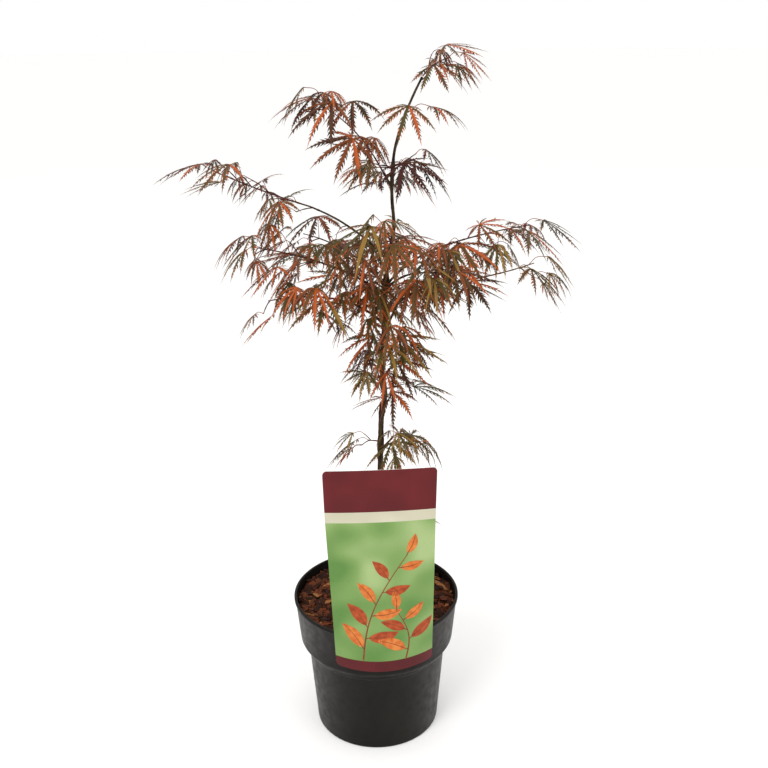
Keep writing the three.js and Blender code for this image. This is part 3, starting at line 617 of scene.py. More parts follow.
class Room:
    """The points of limbs and leaves already laid out, each with the clearance that it asks for."""

    def __init__(self):
        self.points = np.empty((0, 3))
        self.rooms = np.empty(0)

    def take(self, points, room):
        self.points = np.vstack([self.points, points])
        self.rooms = np.concatenate([self.rooms, np.full(len(points), float(room))])

    def take_limb(self, points):
        curve = SmoothCurve(points)
        count = math.ceil(curve.length() / LIMB_SAMPLE_SPACING)
        self.take(np.array([curve.point(i / count) for i in range(count + 1)]), LIMB_CLEARANCE)

    def is_clear(self, points):
        gaps = self.points[:, None] - points
        return ((gaps * gaps).sum(2).min(1) > self.rooms**2).all()


class Cells:
    """A grid of small cells over the plant, of which those near given points are marked."""

    def __init__(self):
        low, high = (np.array(corner) / MM for corner in cad_box)
        self.low = low - FINER_REACH
        self.last = np.ceil((high - low + 2 * FINER_REACH) / CELL).astype(int)
        self.marked = np.zeros(self.last + 1, dtype=bool)

    def cells(self, points):
        return np.clip(np.floor((np.asarray(points) - self.low) / CELL).astype(int), 0, self.last)

    def mark(self, points, reach):
        steps = np.arange(-math.ceil(reach / CELL), math.ceil(reach / CELL) + 1)
        ball = np.stack(np.meshgrid(steps, steps, steps), axis=-1).reshape(-1, 3)
        ball = ball[(ball * ball).sum(1) <= (reach / CELL) ** 2]
        near = np.clip(self.cells(points)[:, None] + ball, 0, self.last)
        self.marked[tuple(near.reshape(-1, 3).T)] = True

    def holds(self, points):
        return self.marked[tuple(self.cells(points).T)]


def lay_out_plant():
    """Every limb with its leaves, at the same places as in the solids, and its finer growth."""
    room = Room()
    room.take_limb(trunk_path())
    plant = []
    for i, row in enumerate(LIMB_ROWS):
        limb = dict(zip(LIMB_FIELDS, row))
        seed = limb["seed"] or SEED + i
        layout = {"limb": limb, "seed": seed, "twigs": [], "leaves": [], **lay_out_limb(limb)}
        if layout["bough"]:
            room.take_limb(layout["bough"])
        room.take_limb(layout["stem"])
        plant.append(layout)
    for layout in plant:
        limb = layout["limb"]
        draw = seeded(layout["seed"])
        curve = SmoothCurve(layout["stem"])
        for place in leaf_places(limb["pairs"]):
            for attempt in range(LEAF_TRIES):
                shrink = 1 - SHRINK_PER_TRY * attempt
                leaf = Leaf(limb["lobe"], limb["pairs"], curve, place, draw, shrink)
                samples = leaf.samples()
                if room.is_clear(samples):
                    room.take(samples, LEAF_CLEARANCE)
                    leaf.share = place["share"]
                    layout["leaves"].append(leaf)
                    break
    taken = Cells()
    taken.mark(room.points, FINER_CLEARANCE)
    card = np.meshgrid(np.linspace(-1, 1, CARD_COLUMNS + 1), np.linspace(0, 1, 2 * CARD_COLUMNS + 1))
    taken.mark(card_point(*card, CARD_THICKNESS / 2).reshape(-1, 3), FINER_CLEARANCE)
    reach = Cells()
    reach.mark(room.points, FINER_REACH)
    heights = room.points[:, 2]
    in_core = (heights > CORE_HEIGHTS[0]) & (heights < CORE_HEIGHTS[1])
    core_x = trunk_point(CORE_HEIGHTS[0])[0]
    in_core &= np.hypot(room.points[:, 0] - core_x, room.points[:, 1]) < CORE_RADIUS
    reach.mark(room.points[in_core], CORE_REACH)
    for layout in plant:
        add_finer_growth(layout, taken, reach)
    return plant


def finer_twig(layout, draw):
    """A fine twig on a limb's leafy stem, or now and then on the end of its bough."""
    limb = layout["limb"]
    on_bough = draw() < FINER_BOUGH_SHARE * limb["bare"] / (limb["bare"] + limb["leafy"])
    share = within((FINER_BOUGH_SHARE, 1), draw) if on_bough else draw()
    curve = SmoothCurve(layout["bough"] if on_bough else layout["stem"])
    angle = math.radians(within(FINER_TWIG_ANGLES, draw))
    out = leaving(curve.tangent(share), angle, draw() * 2 * math.pi)
    rise = math.degrees(math.asin(out[2]))
    heading = math.degrees(math.atan2(out[1], out[0]))
    rises = (rise, rise - FINER_TWIG_FALL)
    twig = limb_path(curve.point(share), heading, rises, within(FINER_TWIG_LENGTHS, draw))
    return twig, 0 if on_bough else share


def add_finer_growth(layout, taken, reach):
    """Fine twigs on a limb, with younger leaves that keep clear of others and near the solids' leaves."""
    limb = layout["limb"]
    draw = seeded(FINER_SEED + layout["seed"])
    length = FINER_BOUGH_SHARE * limb["bare"] + limb["leafy"]
    for _ in range(math.ceil(length * limb["fullness"] / FINER_TWIG_SPACING)):
        twig, share = finer_twig(layout, draw)
        if not reach.holds(twig).all():
            continue
        twig_curve = SmoothCurve(twig)
        leaves = []
        for leaf_index in range(FINER_LEAVES_PER_TWIG):
            for attempt in range(FINER_TRIES):
                place = {
                    "share": FINER_LEAF_PLACE - FINER_LEAF_PLACE_RANGE * min(leaf_index, 1) * draw(),
                    "turn": 360 * draw(),
                    "angle": STALK_ANGLE if leaf_index else within((TIP_LEAF["angle"], STALK_ANGLE), draw),
                }
                lobe = limb["lobe"] * within(FINER_LEAF_SHARES, draw)
                shrink = 1 - FINER_SHRINK_PER_TRY * attempt
                leaf = Leaf(lobe, limb["pairs"], twig_curve, place, draw, shrink, FINER_HABIT)
                samples = leaf.samples()
                if not taken.holds(samples).any() and reach.holds(samples).all():
                    taken.mark(samples, FINER_CLEARANCE)
                    leaf.share = share
                    leaves.append(leaf)
                    break
        if leaves:
            layout["twigs"].append(twig)
            layout["leaves"] += leaves


# Meshes


def add_object(name, data):
    added = bpy.data.objects.new(name, data)
    bpy.context.scene.collection.objects.link(added)
    return added


class Gathered:
    """Vertices and faces gathered from one or more shapes and made into one piece."""

    def __init__(self):
        self.vertices = []
        self.faces = []
        self.count = 0

    def add(self, vertices, faces):
        self.faces += (np.asarray(faces) + self.count).tolist()
        self.vertices.append(np.asarray(vertices, dtype=float).reshape(-1, 3))
        self.count += len(self.vertices[-1])

    def make(self, name, slot, *materials, smooth=True, replaced=()):
        """The piece, with its materials and the solids that it stands for. The slot is not used."""
        mesh = bpy.data.meshes.new(name)
        mesh.from_pydata((np.vstack(self.vertices) * MM).tolist(), [], self.faces)
        mesh.update()
        if smooth:
            mesh.shade_smooth()
        for material in materials:
            mesh.materials.append(material)
        piece = add_object(name, mesh)
        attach(piece, "root")
        if replaced:
            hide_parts(*replaced)
        return piece


def grid_faces(rows, columns, closed):
    """Four-sided faces between the rows of a grid, whose columns may run round to the start."""
    across = columns if closed else columns - 1
    row, column = np.meshgrid(np.arange(rows - 1), np.arange(across), indexing="ij")
    row, column = row.ravel(), column.ravel()
    onward = (column + 1) % columns
    corners = (row * columns + column, row * columns + onward)
    above = ((row + 1) * columns + onward, (row + 1) * columns + column)
    return np.stack(corners + above, axis=1)


def tube(points, radii, sides, relief=0):
    """A tube's vertices and faces along a row of points, with closed ends and any relief."""
    points = np.asarray(points, dtype=float)
    tangents = unit(np.gradient(points, axis=0))
    turns = np.arange(sides) * 2 * math.pi / sides
    reaches = radii[:, None] * (1 + relief) * np.ones(sides)
    normal = np.array(TUBE_NORMAL)
    rings = [np.repeat(points[:1], sides, axis=0)]
    for point, tangent, reach in zip(points, tangents, reaches):
        normal = unit(normal - tangent * (normal @ tangent))
        side = np.cross(tangent, normal)
        around = normal * np.cos(turns)[:, None] + side * np.sin(turns)[:, None]
        rings.append(point + around * reach[:, None])
    rings.append(np.repeat(points[-1:] + tangents[-1:] * radii[-1] * TUBE_END, sides, axis=0))
    return np.concatenate(rings), grid_faces(len(rings), sides, True)


def merge_close(mesh):
    """Joins vertices at one place, such as those on the axis, and drops the faces that this flattens."""
    work = bmesh.new()
    work.from_mesh(mesh)
    bmesh.ops.remove_doubles(work, verts=work.verts, dist=MERGE_GAP * MM)
    bmesh.ops.recalc_face_normals(work, faces=work.faces)
    work.to_mesh(mesh)
    work.free()
    mesh.update()


# Materials


def linear(hex_colour):
    """A shader colour from a hexadecimal sRGB one."""
    parts = [int(hex_colour[i : i + 2], 16) / 255 for i in (0, 2, 4)]
    return tuple(p / 12.92 if p <= 0.04045 else ((p + 0.055) / 1.055) ** 2.4 for p in parts) + (1,)


def set_inputs(node, values):
    for name, value in values.items():
        node.inputs[name].default_value = value


class Finish:
    """A material under construction, whose patterns run over the object's own coordinates."""

    def __init__(self, name, colour, roughness, specular=0.12):
        self.material = bpy.data.materials.new(name)
        self.material.use_nodes = True
        self.tree = self.material.node_tree
        self.shader = self.tree.nodes["Principled BSDF"]
        values = {"Base Color": linear(colour), "Roughness": roughness, "Specular IOR Level": specular}
        set_inputs(self.shader, values)
        self.coordinates = self.tree.nodes.new("ShaderNodeTexCoord").outputs["Object"]

    def node(self, kind, source, socket, values=None):
        """A new node with its values, fed by a source."""
        node = self.tree.nodes.new("ShaderNode" + kind)
        set_inputs(node, values or {})
        self.tree.links.new(source, node.inputs[socket])
        return node

    def noise(self, size, detail=3, stretch=(1, 1, 1)):
        """A noise pattern, given the size of its features in millimetres."""
        stretched = self.node("Mapping", self.coordinates, "Vector", {"Scale": stretch}).outputs["Vector"]
        values = {"Scale": 1 / (size * MM), "Detail": detail}
        return self.node("TexNoise", stretched, "Vector", values).outputs["Fac"]

    def colour_by(self, value, stops):
        """A colour from a pattern, given as places and hexadecimal colours."""
        node = self.node("ValToRGB", value, "Fac")
        elements = node.color_ramp.elements
        while len(elements) < len(stops):
            elements.new(1)
        for element, (place, colour) in zip(elements, stops):
            element.position = place
            element.color = linear(colour)
        self.tree.links.new(node.outputs["Color"], self.shader.inputs["Base Color"])

    def roughness_by(self, value, low, high):
        """A roughness from the middle stretch of a pattern."""
        values = {"From Min": PATTERN_SPAN[0], "From Max": PATTERN_SPAN[1], "To Min": low, "To Max": high}
        node = self.node("MapRange", value, "Value", values)
        self.tree.links.new(node.outputs["Result"], self.shader.inputs["Roughness"])

    def bump_by(self, value, height):
        """Relief from a pattern, given its height in millimetres."""
        node = self.node("Bump", value, "Height", {"Distance": height * MM, "Strength": 1})
        self.tree.links.new(node.outputs["Normal"], self.shader.inputs["Normal"])


def patterned(name, plain, level, colours, roughness, relief, specular=0.12):
    """A finish whose colours, roughness and relief follow noises, which come first in their rows."""
    finish = Finish(name, plain, level, specular)
    finish.colour_by(finish.noise(*colours[0]), colours[1])
    finish.roughness_by(finish.noise(*roughness[0]), *roughness[1:])
    finish.bump_by(finish.noise(*relief[0]), relief[1])
    return finish


def bark_finish():
    colours = ((0.3, "140d0a"), (0.45, "281b12"), (0.58, "3a2d1a"), (0.72, "574a2e"))
    colours, relief = ((5, 5, (1, 1, 0.22)), colours), ((0.9, 4, (1, 1, 0.3)), 0.35)
    return patterned("bark", "3a2a20", 0.7, colours, ((2,), 0.55, 0.8), relief).material


def twig_finish(name, colours):
    stops = tuple(zip((0.35, 0.5, 0.65), colours))
    return patterned(name, colours[1], 0.5, ((6,), stops), ((2,), 0.4, 0.6), ((0.7,), 0.1)).material


def pot_finish():
    colours = ((28, 5, (1, 1, 0.5)), ((0.3, "090706"), (0.55, "0d0b09"), (0.75, "12100d")))
    finish = patterned("pot_plastic", "0c0b0a", 0.4, colours, ((9, 6), 0.33, 0.5), ((0.6, 2), 0.03), 0.14)
    set_inputs(finish.shader, {"Specular Tint": POT_SHEEN})
    return finish.material


def chip_finish(name, dark, light):
    colours = ((2, 5), ((0.3, dark), (0.7, light)))
    return patterned(name, light, 0.85, colours, ((3,), 0.7, 0.95), ((0.8, 5), 0.5)).material


def print_finish(name, stops, size):
    colours = ((size, 1), stops)
    return patterned(name, stops[0][1], 0.3, colours, ((12,), 0.26, 0.38), ((6, 1), 0.05), 0.2).material


def bed_finish():
    finish = Finish("mulch_bed", "2a1710", 0.95)
    finish.colour_by(finish.noise(4, 6), ((0.3, "120a07"), (0.5, "2a1710"), (0.7, "452718")))
    finish.bump_by(finish.noise(2.5, 6), 2)
    return finish.material


def leaf_finish(name, colour):
    finish = Finish(name, colour, 0.5, 0.2)
    finish.roughness_by(finish.noise(4), 0.42, 0.62)
    finish.bump_by(finish.noise(1.2), 0.12)
    return finish.material


# Pot


def arc(centre, radius, start, end, steps=5):
    """Points of a profile's round stretch, between angles in degrees."""
    angles = np.radians(np.linspace(start, end, steps))
    return [(centre[0] + radius * math.cos(a), centre[1] + radius * math.sin(a)) for a in angles]


def pot_profile():
    """The pot's outline as radius and height, from its underside's middle round the rim to its floor."""
    ring_inside = POT_BASE_RADIUS - POT_EDGE - FOOT_RING_WIDTH
    outline = [(0, FOOT_RECESS)] + [(ring_inside + out, height) for out, height in FOOT_RING_SLOPE]
    outline += arc((POT_BASE_RADIUS - POT_EDGE, POT_EDGE), POT_EDGE, -90, 0)
    for share in np.arange(SHOULDER_STEPS + 1) / SHOULDER_STEPS:
        eased = (share * share * (3 - 2 * share)) ** SHOULDER_POWER
        height = lerp(POT_SHOULDER_HEIGHT, COLLAR_FOOT_HEIGHT, share)
        outline.append((lerp(POT_BODY_RADIUS, COLLAR_FOOT_RADIUS, eased), height))
    lip_foot = POT_HEIGHT - LIP_DEPTH
    outline += [(COLLAR_TOP_RADIUS + out, lip_foot + up) for out, up in LIP_NECK]
    outline.append((LIP_RADIUS, lip_foot + LIP_DEPTH / 3))
    lip_round = LIP_DEPTH / 4
    outline += arc((LIP_RADIUS - lip_round, POT_HEIGHT - lip_round), lip_round, 0, 90)
    rim = COLLAR_TOP_RADIUS - POT_WALL
    outline += arc((rim + RIM_ROUND, POT_HEIGHT - RIM_ROUND), RIM_ROUND, 90, 180, 4)
    outline += [
        (COLLAR_FOOT_RADIUS - POT_WALL, COLLAR_FOOT_HEIGHT),
        (POT_BODY_RADIUS - POT_WALL, POT_SHOULDER_HEIGHT),
        (POT_BASE_RADIUS - POT_WALL, POT_FLOOR),
        (0, POT_FLOOR),
    ]
    return np.array(outline)


def make_pot():
    profile = pot_profile()
    turns = np.arange(POT_SIDES) * 2 * math.pi / POT_SIDES
    radii, heights = profile[:, :1], np.repeat(profile[:, 1:], POT_SIDES, axis=1)
    rings = np.stack([radii * np.cos(turns), radii * np.sin(turns), heights], axis=2)
    pot = Gathered()
    pot.add(rings, grid_faces(len(profile), POT_SIDES, True))
    piece = pot.make("pot_shell", "pot_plastic", pot_finish(), replaced=["pot"])
    merge_close(piece.data)
    piece.data.set_sharp_from_angle(angle=math.radians(POT_SHARP_ANGLE))


# Mulch


def wall_radius(height):
    """The inside radius of the collar at a height."""
    share = (height - COLLAR_FOOT_HEIGHT) / (POT_HEIGHT - COLLAR_FOOT_HEIGHT)
    return lerp(COLLAR_FOOT_RADIUS, COLLAR_TOP_RADIUS, share) - POT_WALL


def bark_chip(draw):
    """A splinter of bark: a ragged flat outline given thickness, with its far side smaller."""
    length = lerp(*CHIP_LENGTHS, draw.random() ** CHIP_LENGTH_POWER)
    width = length * draw.uniform(*CHIP_SLIMNESS) + CHIP_LEAST_WIDTH
    thickness = draw.uniform(*CHIP_THICKNESSES)
    turns = np.arange(CHIP_CORNERS) + draw.uniform(-CHIP_CORNER_TURN, CHIP_CORNER_TURN, CHIP_CORNERS)
    turns = turns * 2 * math.pi / CHIP_CORNERS
    reach = draw.uniform(*CHIP_CORNER_REACH, CHIP_CORNERS)
    outline = np.stack([np.cos(turns) * reach * length / 2, np.sin(turns) * reach * width / 2], axis=1)
    bend = draw.uniform(-CHIP_BEND, CHIP_BEND)
    layers = []
    for height, shrink in CHIP_LAYERS:
        shift = draw.uniform(-CHIP_LAYER_SHIFT, CHIP_LAYER_SHIFT, (CHIP_CORNERS, 2))
        flat = outline * shrink + shift * width
        rise = height * thickness * draw.uniform(*CHIP_LAYER_RISE, CHIP_CORNERS) + bend * flat[:, 0] ** 2
        layers.append(np.column_stack([flat, rise]))
    return np.concatenate(layers)


def chip_faces():
    """Triangles of a chip: two belts and two fans."""
    faces = []
    for a, b, c, d in grid_faces(len(CHIP_LAYERS), CHIP_CORNERS, True):
        faces += [(a, b, c), (a, c, d)]
    top = (len(CHIP_LAYERS) - 1) * CHIP_CORNERS
    for i in range(1, CHIP_CORNERS - 1):
        faces += [(0, i + 1, i), (top, top + i, top + i + 1)]
    return faces


def pushed_inside(vertices):
    """A chip moved in from the wall as far as it would stand out of it."""
    over = (np.hypot(vertices[:, 0], vertices[:, 1]) - (wall_radius(vertices[:, 2]) - GAP)).max()
    if over > 0:
        centre = vertices[:, :2].mean(0)
        vertices[:, :2] -= centre / np.hypot(*centre) * over
    return vertices


def make_mulch():
    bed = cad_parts["mulch"].data
    bed.materials.clear()
    bed.materials.append(bed_finish())
    draw = np.random.default_rng(CHIP_SEED)
    gathered = {name: Gathered() for name in CHIP_KINDS}
    shares = [share for share, _, _ in CHIP_KINDS.values()]
    faces = chip_faces()
    axis = trunk_point(MULCH_CROWN_HEIGHT)
    for index in range(CHIP_COUNT):
        name = draw.choice(list(CHIP_KINDS), p=shares)
        vertices = bark_chip(draw)
        heading = draw.uniform(0, 2 * math.pi)
        tilt, roll = np.radians(draw.normal(0, CHIP_TILT, 2))
        for chip_axis, angle in (((1.0, 0, 0), roll), ((0, 1.0, 0), tilt), (UP, heading)):
            vertices = turned(vertices, np.array(chip_axis), angle)
        distance = wall_radius(MULCH_EDGE_HEIGHT) * math.sqrt(draw.random())
        bearing = draw.uniform(0, 2 * math.pi)
        surface = lerp(MULCH_CROWN_HEIGHT, MULCH_EDGE_HEIGHT, distance / COLLAR_TOP_RADIUS)
        height = surface + CHIP_LIFT + CHIP_PILE * (index / CHIP_COUNT) * draw.uniform(*CHIP_PILE_RANGE)
        vertices += (distance * math.cos(bearing), distance * math.sin(bearing), height)
        vertices = pushed_inside(vertices)
        if np.hypot(vertices[:, 0] - axis[0], vertices[:, 1] - axis[1]).min() > STEM_CLEARANCE:
            gathered[name].add(vertices, faces)
    for name, (_, dark, light) in CHIP_KINDS.items():
        gathered[name].make(name, "mulch", chip_finish(name, dark, light), smooth=False)


# Card


def card_point(across, up, outward, inset=0.0):
    """The card's face at a share of its width, from -1 to 1, and of its height, from 0 to 1."""
    half_width = lerp(CARD_FOOT_WIDTH, CARD_HEAD_WIDTH, up) / 2
    x = across * (half_width - inset)
    sag = CARD_BEND_RADIUS - np.sqrt(CARD_BEND_RADIUS**2 - x**2)
    fade = np.minimum(1, up * CARD_BEND_FADE)
    y = -(CARD_BEND_RADIUS + outward) + sag * (1 - (1 - CARD_HEAD_BEND) * fade)
    foot = CARD_FOOT_HEIGHT - CARD_FOOT_BOW * (1 - across**2)
    point = np.stack([x, y, lerp(foot, CARD_HEAD_HEIGHT, up)], axis=-1)
    return turned(point, UP, np.radians(CARD_YAW + CARD_TWIST * fade))


def card_rows():
    """Heights of the card's rows as shares: fine at its round corners, and one on each band's border."""
    angles = np.linspace(0, math.pi / 2, CARD_CORNER_ROWS)
    corner = [CARD_CORNER * (1 - math.cos(a)) / CARD_LENGTH for a in angles]
    rows = corner + [1 - share for share in corner] + [top for _, top, _, _ in CARD_BANDS]
    rows = sorted(rows + list(np.linspace(*CARD_ROWS)))
    kept = rows[:1]
    for row in rows:
        if row - kept[-1] > CARD_LEAST_ROW:
            kept.append(row)
    return np.array(kept)


def corner_inset(rows):
    """How far the card's sides draw in at its round corners."""
    from_end = np.minimum(np.minimum(rows, 1 - rows) * CARD_LENGTH, CARD_CORNER)
    return CARD_CORNER - np.sqrt(CARD_CORNER**2 - (CARD_CORNER - from_end) ** 2)


def make_card():
    rows = card_rows()
    up, across = np.meshgrid(rows, np.linspace(-1, 1, CARD_COLUMNS + 1), indexing="ij")
    faces_out = (CARD_INSET, CARD_THICKNESS - CARD_INSET)
    sheets = np.stack([card_point(across, up, outward, corner_inset(up)) for outward in faces_out])
    quads = grid_faces(*up.shape, False)
    places = np.arange(up.size).reshape(up.shape)
    outline = np.concatenate([places[0], places[1:, -1], places[-1, -2::-1], places[-2:0:-1, 0]])
    onward = np.roll(outline, -1)
    edge = np.stack([outline, onward, onward + up.size, outline + up.size], axis=1)
    card = Gathered()
    card.add(sheets, np.concatenate([quads + up.size, quads[:, ::-1], edge]))
    materials = [print_finish(name, stops, size) for name, _, stops, size in CARD_BANDS]
    materials.append(print_finish(*CARD_STOCK))
    piece = card.make("card_sheet", "card", *materials, replaced=["card"])
    tops = [top for _, top, _, _ in CARD_BANDS]
    indices = np.full(len(piece.data.polygons), len(CARD_BANDS))
    bands = np.searchsorted(tops, (rows[1:] + rows[:-1]) / 2, side="right")
    indices[: len(quads)] = np.repeat(bands, CARD_COLUMNS)
    piece.data.polygons.foreach_set("material_index", indices.tolist())
    piece.data.set_sharp_from_angle(angle=math.radians(CARD_SHARP_ANGLE))
    make_tongue(materials[-1])
    make_card_print()


def make_tongue(material):
    """The tongue that hooks the card over the rim: a bent strip with a round fold."""
    drop = TONGUE_DEPTH / (POT_HEIGHT - COLLAR_FOOT_HEIGHT)
    wall = lerp(COLLAR_TOP_RADIUS, COLLAR_FOOT_RADIUS, drop) - POT_WALL
    wall *= math.cos(math.pi / SOLID_POT_SIDES)
    inside = math.sqrt(wall**2 - (TONGUE_WIDTH / 2) ** 2) - 2 * GAP - TONGUE_THICKNESS / 2
    top = POT_HEIGHT + GAP + TONGUE_THICKNESS / 2
    path = [(CARD_BEND_RADIUS + CARD_INSET, top)]
    for angle in TONGUE_FOLD_ANGLES:
        inward, down = TONGUE_FOLD * (1 - math.sin(angle)), TONGUE_FOLD * (1 - math.cos(angle))
        path.append((inside + inward, top - down))
    path = np.array(path + [(inside, POT_HEIGHT - TONGUE_DEPTH + 2 * GAP)])
    tangents = unit(np.gradient(path, axis=0))
    normals = np.stack([-tangents[:, 1], tangents[:, 0]], axis=1) * TONGUE_SHEET / 2
    corners = []
    for side, outward in ((-1, -1), (1, -1), (1, 1), (-1, 1)):
        distances, heights = (path + normals * outward).T
        across = np.full(len(path), side * TONGUE_WIDTH / 2)
        corners.append(np.stack([across, -distances, heights], axis=1))
    vertices = np.stack(corners, axis=1).reshape(-1, 3)
    last = len(vertices) - 4
    ends = ((3, 2, 1, 0), (last, last + 1, last + 2, last + 3))
    tongue = Gathered()
    vertices = turned(vertices, UP, math.radians(CARD_YAW))
    tongue.add(vertices, np.vstack([grid_faces(len(path), 4, True), ends]))
    merge_close(tongue.make("card_tongue", "card", material, smooth=False).data)


def on_card(across, up, outward):
    """Points of the card's face, given in millimetres from its middle line and up from its foot."""
    share = up / CARD_LENGTH
    return card_point(across / (lerp(CARD_FOOT_WIDTH, CARD_HEAD_WIDTH, share) / 2), share, outward)


def print_strip(gathered, middles, half_widths, layer):
    """A flat shape on the card along a row of points, as wide at each as given, that follows its bend."""
    along = unit(np.gradient(middles, axis=0))
    side = np.stack([along[:, 1], -along[:, 0]], axis=1) * half_widths[:, None]
    rows = np.stack([middles - side, middles, middles + side], axis=1)
    outward = CARD_THICKNESS - CARD_INSET + PRINT_LAYERS[layer]
    gathered.add(on_card(rows[..., 0], rows[..., 1], outward), grid_faces(len(middles), 3, False))


def print_leaf(pieces, name, foot, heading, length):
    """A plain pointed oval leaf on a short stalk, with its midrib."""
    shares = np.linspace(0, 1, PRINT_LEAF_STATIONS)
    turn = math.radians(heading)
    along = np.array((math.sin(turn), math.cos(turn)))
    side = np.array((along[1], -along[0]))
    bow = PRINT_LEAF_BOW * length * np.sin(math.pi * shares)
    middles = foot + along * (PRINT_STALK + length * shares[:, None]) + side * bow[:, None]
    oval = np.sin(math.pi * shares ** PRINT_LEAF_POWERS[0]) ** PRINT_LEAF_POWERS[1]
    print_strip(pieces[name], middles, PRINT_LEAF_SLIMNESS * length * oval, "leaf")
    rib = np.vstack([[foot], middles[:-1]])
    print_strip(pieces["print_stems"], rib, np.linspace(*PRINT_RIB_HALF_WIDTHS, len(rib)), "rib")


def branch_points(branch, shares):
    start, end = np.array(branch["start"]), np.array(branch["end"])
    sideways = np.array((branch["arch"], 0))
    return start + (end - start) * shares[:, None] + sideways * np.sin(math.pi * shares)[:, None]


def make_card_print():
    """A generic print on the card's field: two arching branches of plain oval leaves."""
    pieces = {name: Gathered() for name in PRINT_TINTS}
    for branch in PRINT_BRANCHES:
        middles = branch_points(branch, np.linspace(0, 1, PRINT_BRANCH_STATIONS))
        half_widths = np.linspace(*PRINT_BRANCH_HALF_WIDTHS, PRINT_BRANCH_STATIONS)
        print_strip(pieces["print_stems"], middles, half_widths, "branch")
        lean = math.degrees(math.atan2(*(middles[-1] - middles[0])))
        shares = np.arange(1, branch["leaves"] + 1) / branch["leaves"]
        for index, (foot, share) in enumerate(zip(branch_points(branch, shares), shares)):
            turn = 0 if share == 1 else (PRINT_LEAF_ANGLE if index % 2 else -PRINT_LEAF_ANGLE)
            name = ("print_orange", "print_rust")[(index // 2 + index) % 2]
            print_leaf(pieces, name, foot, lean + turn, lerp(*PRINT_LEAF_LENGTHS, 1 - share))
    for name, stops in PRINT_TINTS.items():
        pieces[name].make(name, "card", print_finish(name, stops, PRINT_GRAIN), smooth=False)


# Bark


def elongated_noise(draw, rows, sides, shape):
    """Seamless noise for a tube's surface, of a given height, drawn out along its length."""
    noise = draw.normal(size=(rows, sides))
    noise = (noise + np.roll(noise, 1, axis=1) + np.roll(noise, -1, axis=1)) / 3
    blur = shape["length"]
    kernel = np.hanning(blur + 2)
    padded = np.pad(noise, ((blur, blur), (0, 0)), mode="reflect")
    noise = np.apply_along_axis(lambda column: np.convolve(column, kernel, mode="same"), 0, padded)
    noise = noise[blur:-blur]
    return shape["height"] * noise / noise.std()


def swelling(distances, shape):
    """A swelling's height at distances from its middle."""
    return shape["height"] * np.exp(-((distances / shape["length"]) ** 2))


def make_bark(plant):
    """The trunk and boughs in one mesh, with furrows, old leaf scars and a collar under each limb."""
    bark = Gathered()
    draw = np.random.default_rng(BARK_SEED)
    heights = np.arange(TRUNK_FOOT - TRUNK_ROOT_DEPTH, TRUNK_TOP, TRUNK_ROW)
    points = [trunk_point(height) for height in heights]
    radii = np.array([trunk_radius(max(height, TRUNK_FOOT)) for height in heights]) * BARK_SHARE
    relief = elongated_noise(draw, len(heights), TRUNK_SIDES, FURROWS)
    relief += elongated_noise(draw, len(heights), TRUNK_SIDES, GRAIN)
    for layout in plant:
        relief += swelling(heights - layout["limb"]["at"] - COLLAR["lift"], COLLAR)[:, None]
    for scar in np.arange(TRUNK_FOOT + SCAR["start"], TRUNK_TOP, SCAR["spacing"]):
        relief += swelling(heights - scar, SCAR)[:, None]
    bark.add(*tube(points, radii, TRUNK_SIDES, relief))
    with_boughs = [layout for layout in plant if layout["bough"]]
    for layout in with_boughs:
        add_bough(bark, layout, draw)
    names = [layout["limb"]["name"] + "_bough" for layout in with_boughs]
    bark.make("bark", "bark", bark_finish(), replaced=["trunk"] + names)


def limb_row(points, step):
    """Close points along a limb's curve, and how far along it each one is."""
    curve = SmoothCurve(points)
    count = max(LEAST_ROWS, int(curve.length() / step))
    shares = np.linspace(0, 1, count + 1)
    return np.array([curve.point(share) for share in shares]), shares


def add_bough(bark, layout, draw):
    points, shares = limb_row(layout["bough"], BOUGH_ROW)
    length = layout["limb"]["bare"]
    radii = lerp(layout["foot_radius"], layout["stem_radius"], shares) * BOUGH_BARK_SHARE
    radii = radii * (1 + swelling(shares * length, BOUGH_COLLAR))
    relief = elongated_noise(draw, len(points), BOUGH_SIDES, BOUGH_FURROWS)
    for node in np.arange(BOUGH_NODE["start"], length, BOUGH_NODE["spacing"]):
        relief += swelling(shares * length - node, BOUGH_NODE)[:, None]
    bark.add(*tube(points, radii, BOUGH_SIDES, relief))


# Twigs and stalks


def add_twig(gathered, points, radii, node_spacing):
    row, shares = limb_row(points, TWIG_ROW)
    length = np.sqrt(((row[1:] - row[:-1]) ** 2).sum(1)).sum()
    radii = lerp(*radii, shares)
    for node in np.arange(node_spacing, length, node_spacing):
        radii = radii * (1 + swelling(shares * length - node, TWIG_NODE))
    gathered.add(*tube(row, radii, TWIG_SIDES))


def add_stalk(gathered, leaf):
    row, shares = limb_row([leaf.root, leaf.middle, leaf.hub], STALK_ROW)
    (foot, foot_fade), (head, head_fade) = STALK_FOOT_SWELL, STALK_HEAD_SWELL
    radii = STALK_RADIUS + foot * np.exp(-shares * foot_fade) + head * np.exp(-(1 - shares) * head_fade)
    gathered.add(*tube(row, radii, STALK_SIDES))


def make_twigs(plant):
    twigs = Gathered()
    stalks = Gathered()
    for layout in plant:
        radii = (layout["stem_radius"] * BOUGH_BARK_SHARE, STEM_TIP_RADIUS)
        add_twig(twigs, layout["stem"], radii, STEM_NODE_SPACING)
        for twig in layout["twigs"]:
            add_twig(twigs, twig, TWIG_RADII, TWIG_NODE_SPACING)
        for leaf in layout["leaves"]:
            add_stalk(stalks, leaf)
    sprays = [layout["limb"]["name"] + "_spray" for layout in plant]
    twigs.make("twigs", "bark", twig_finish("twig_bark", ("2a1614", "40201c", "553026")), replaced=sprays)
    stalks.make("stalks", "leaf", twig_finish("leaf_stalk", ("57231c", "7a3424", "8f4a2c")))


# Leaves


def profile_at(profile, shares):
    places, values = zip(*profile)
    return np.interp(shares, places, values)


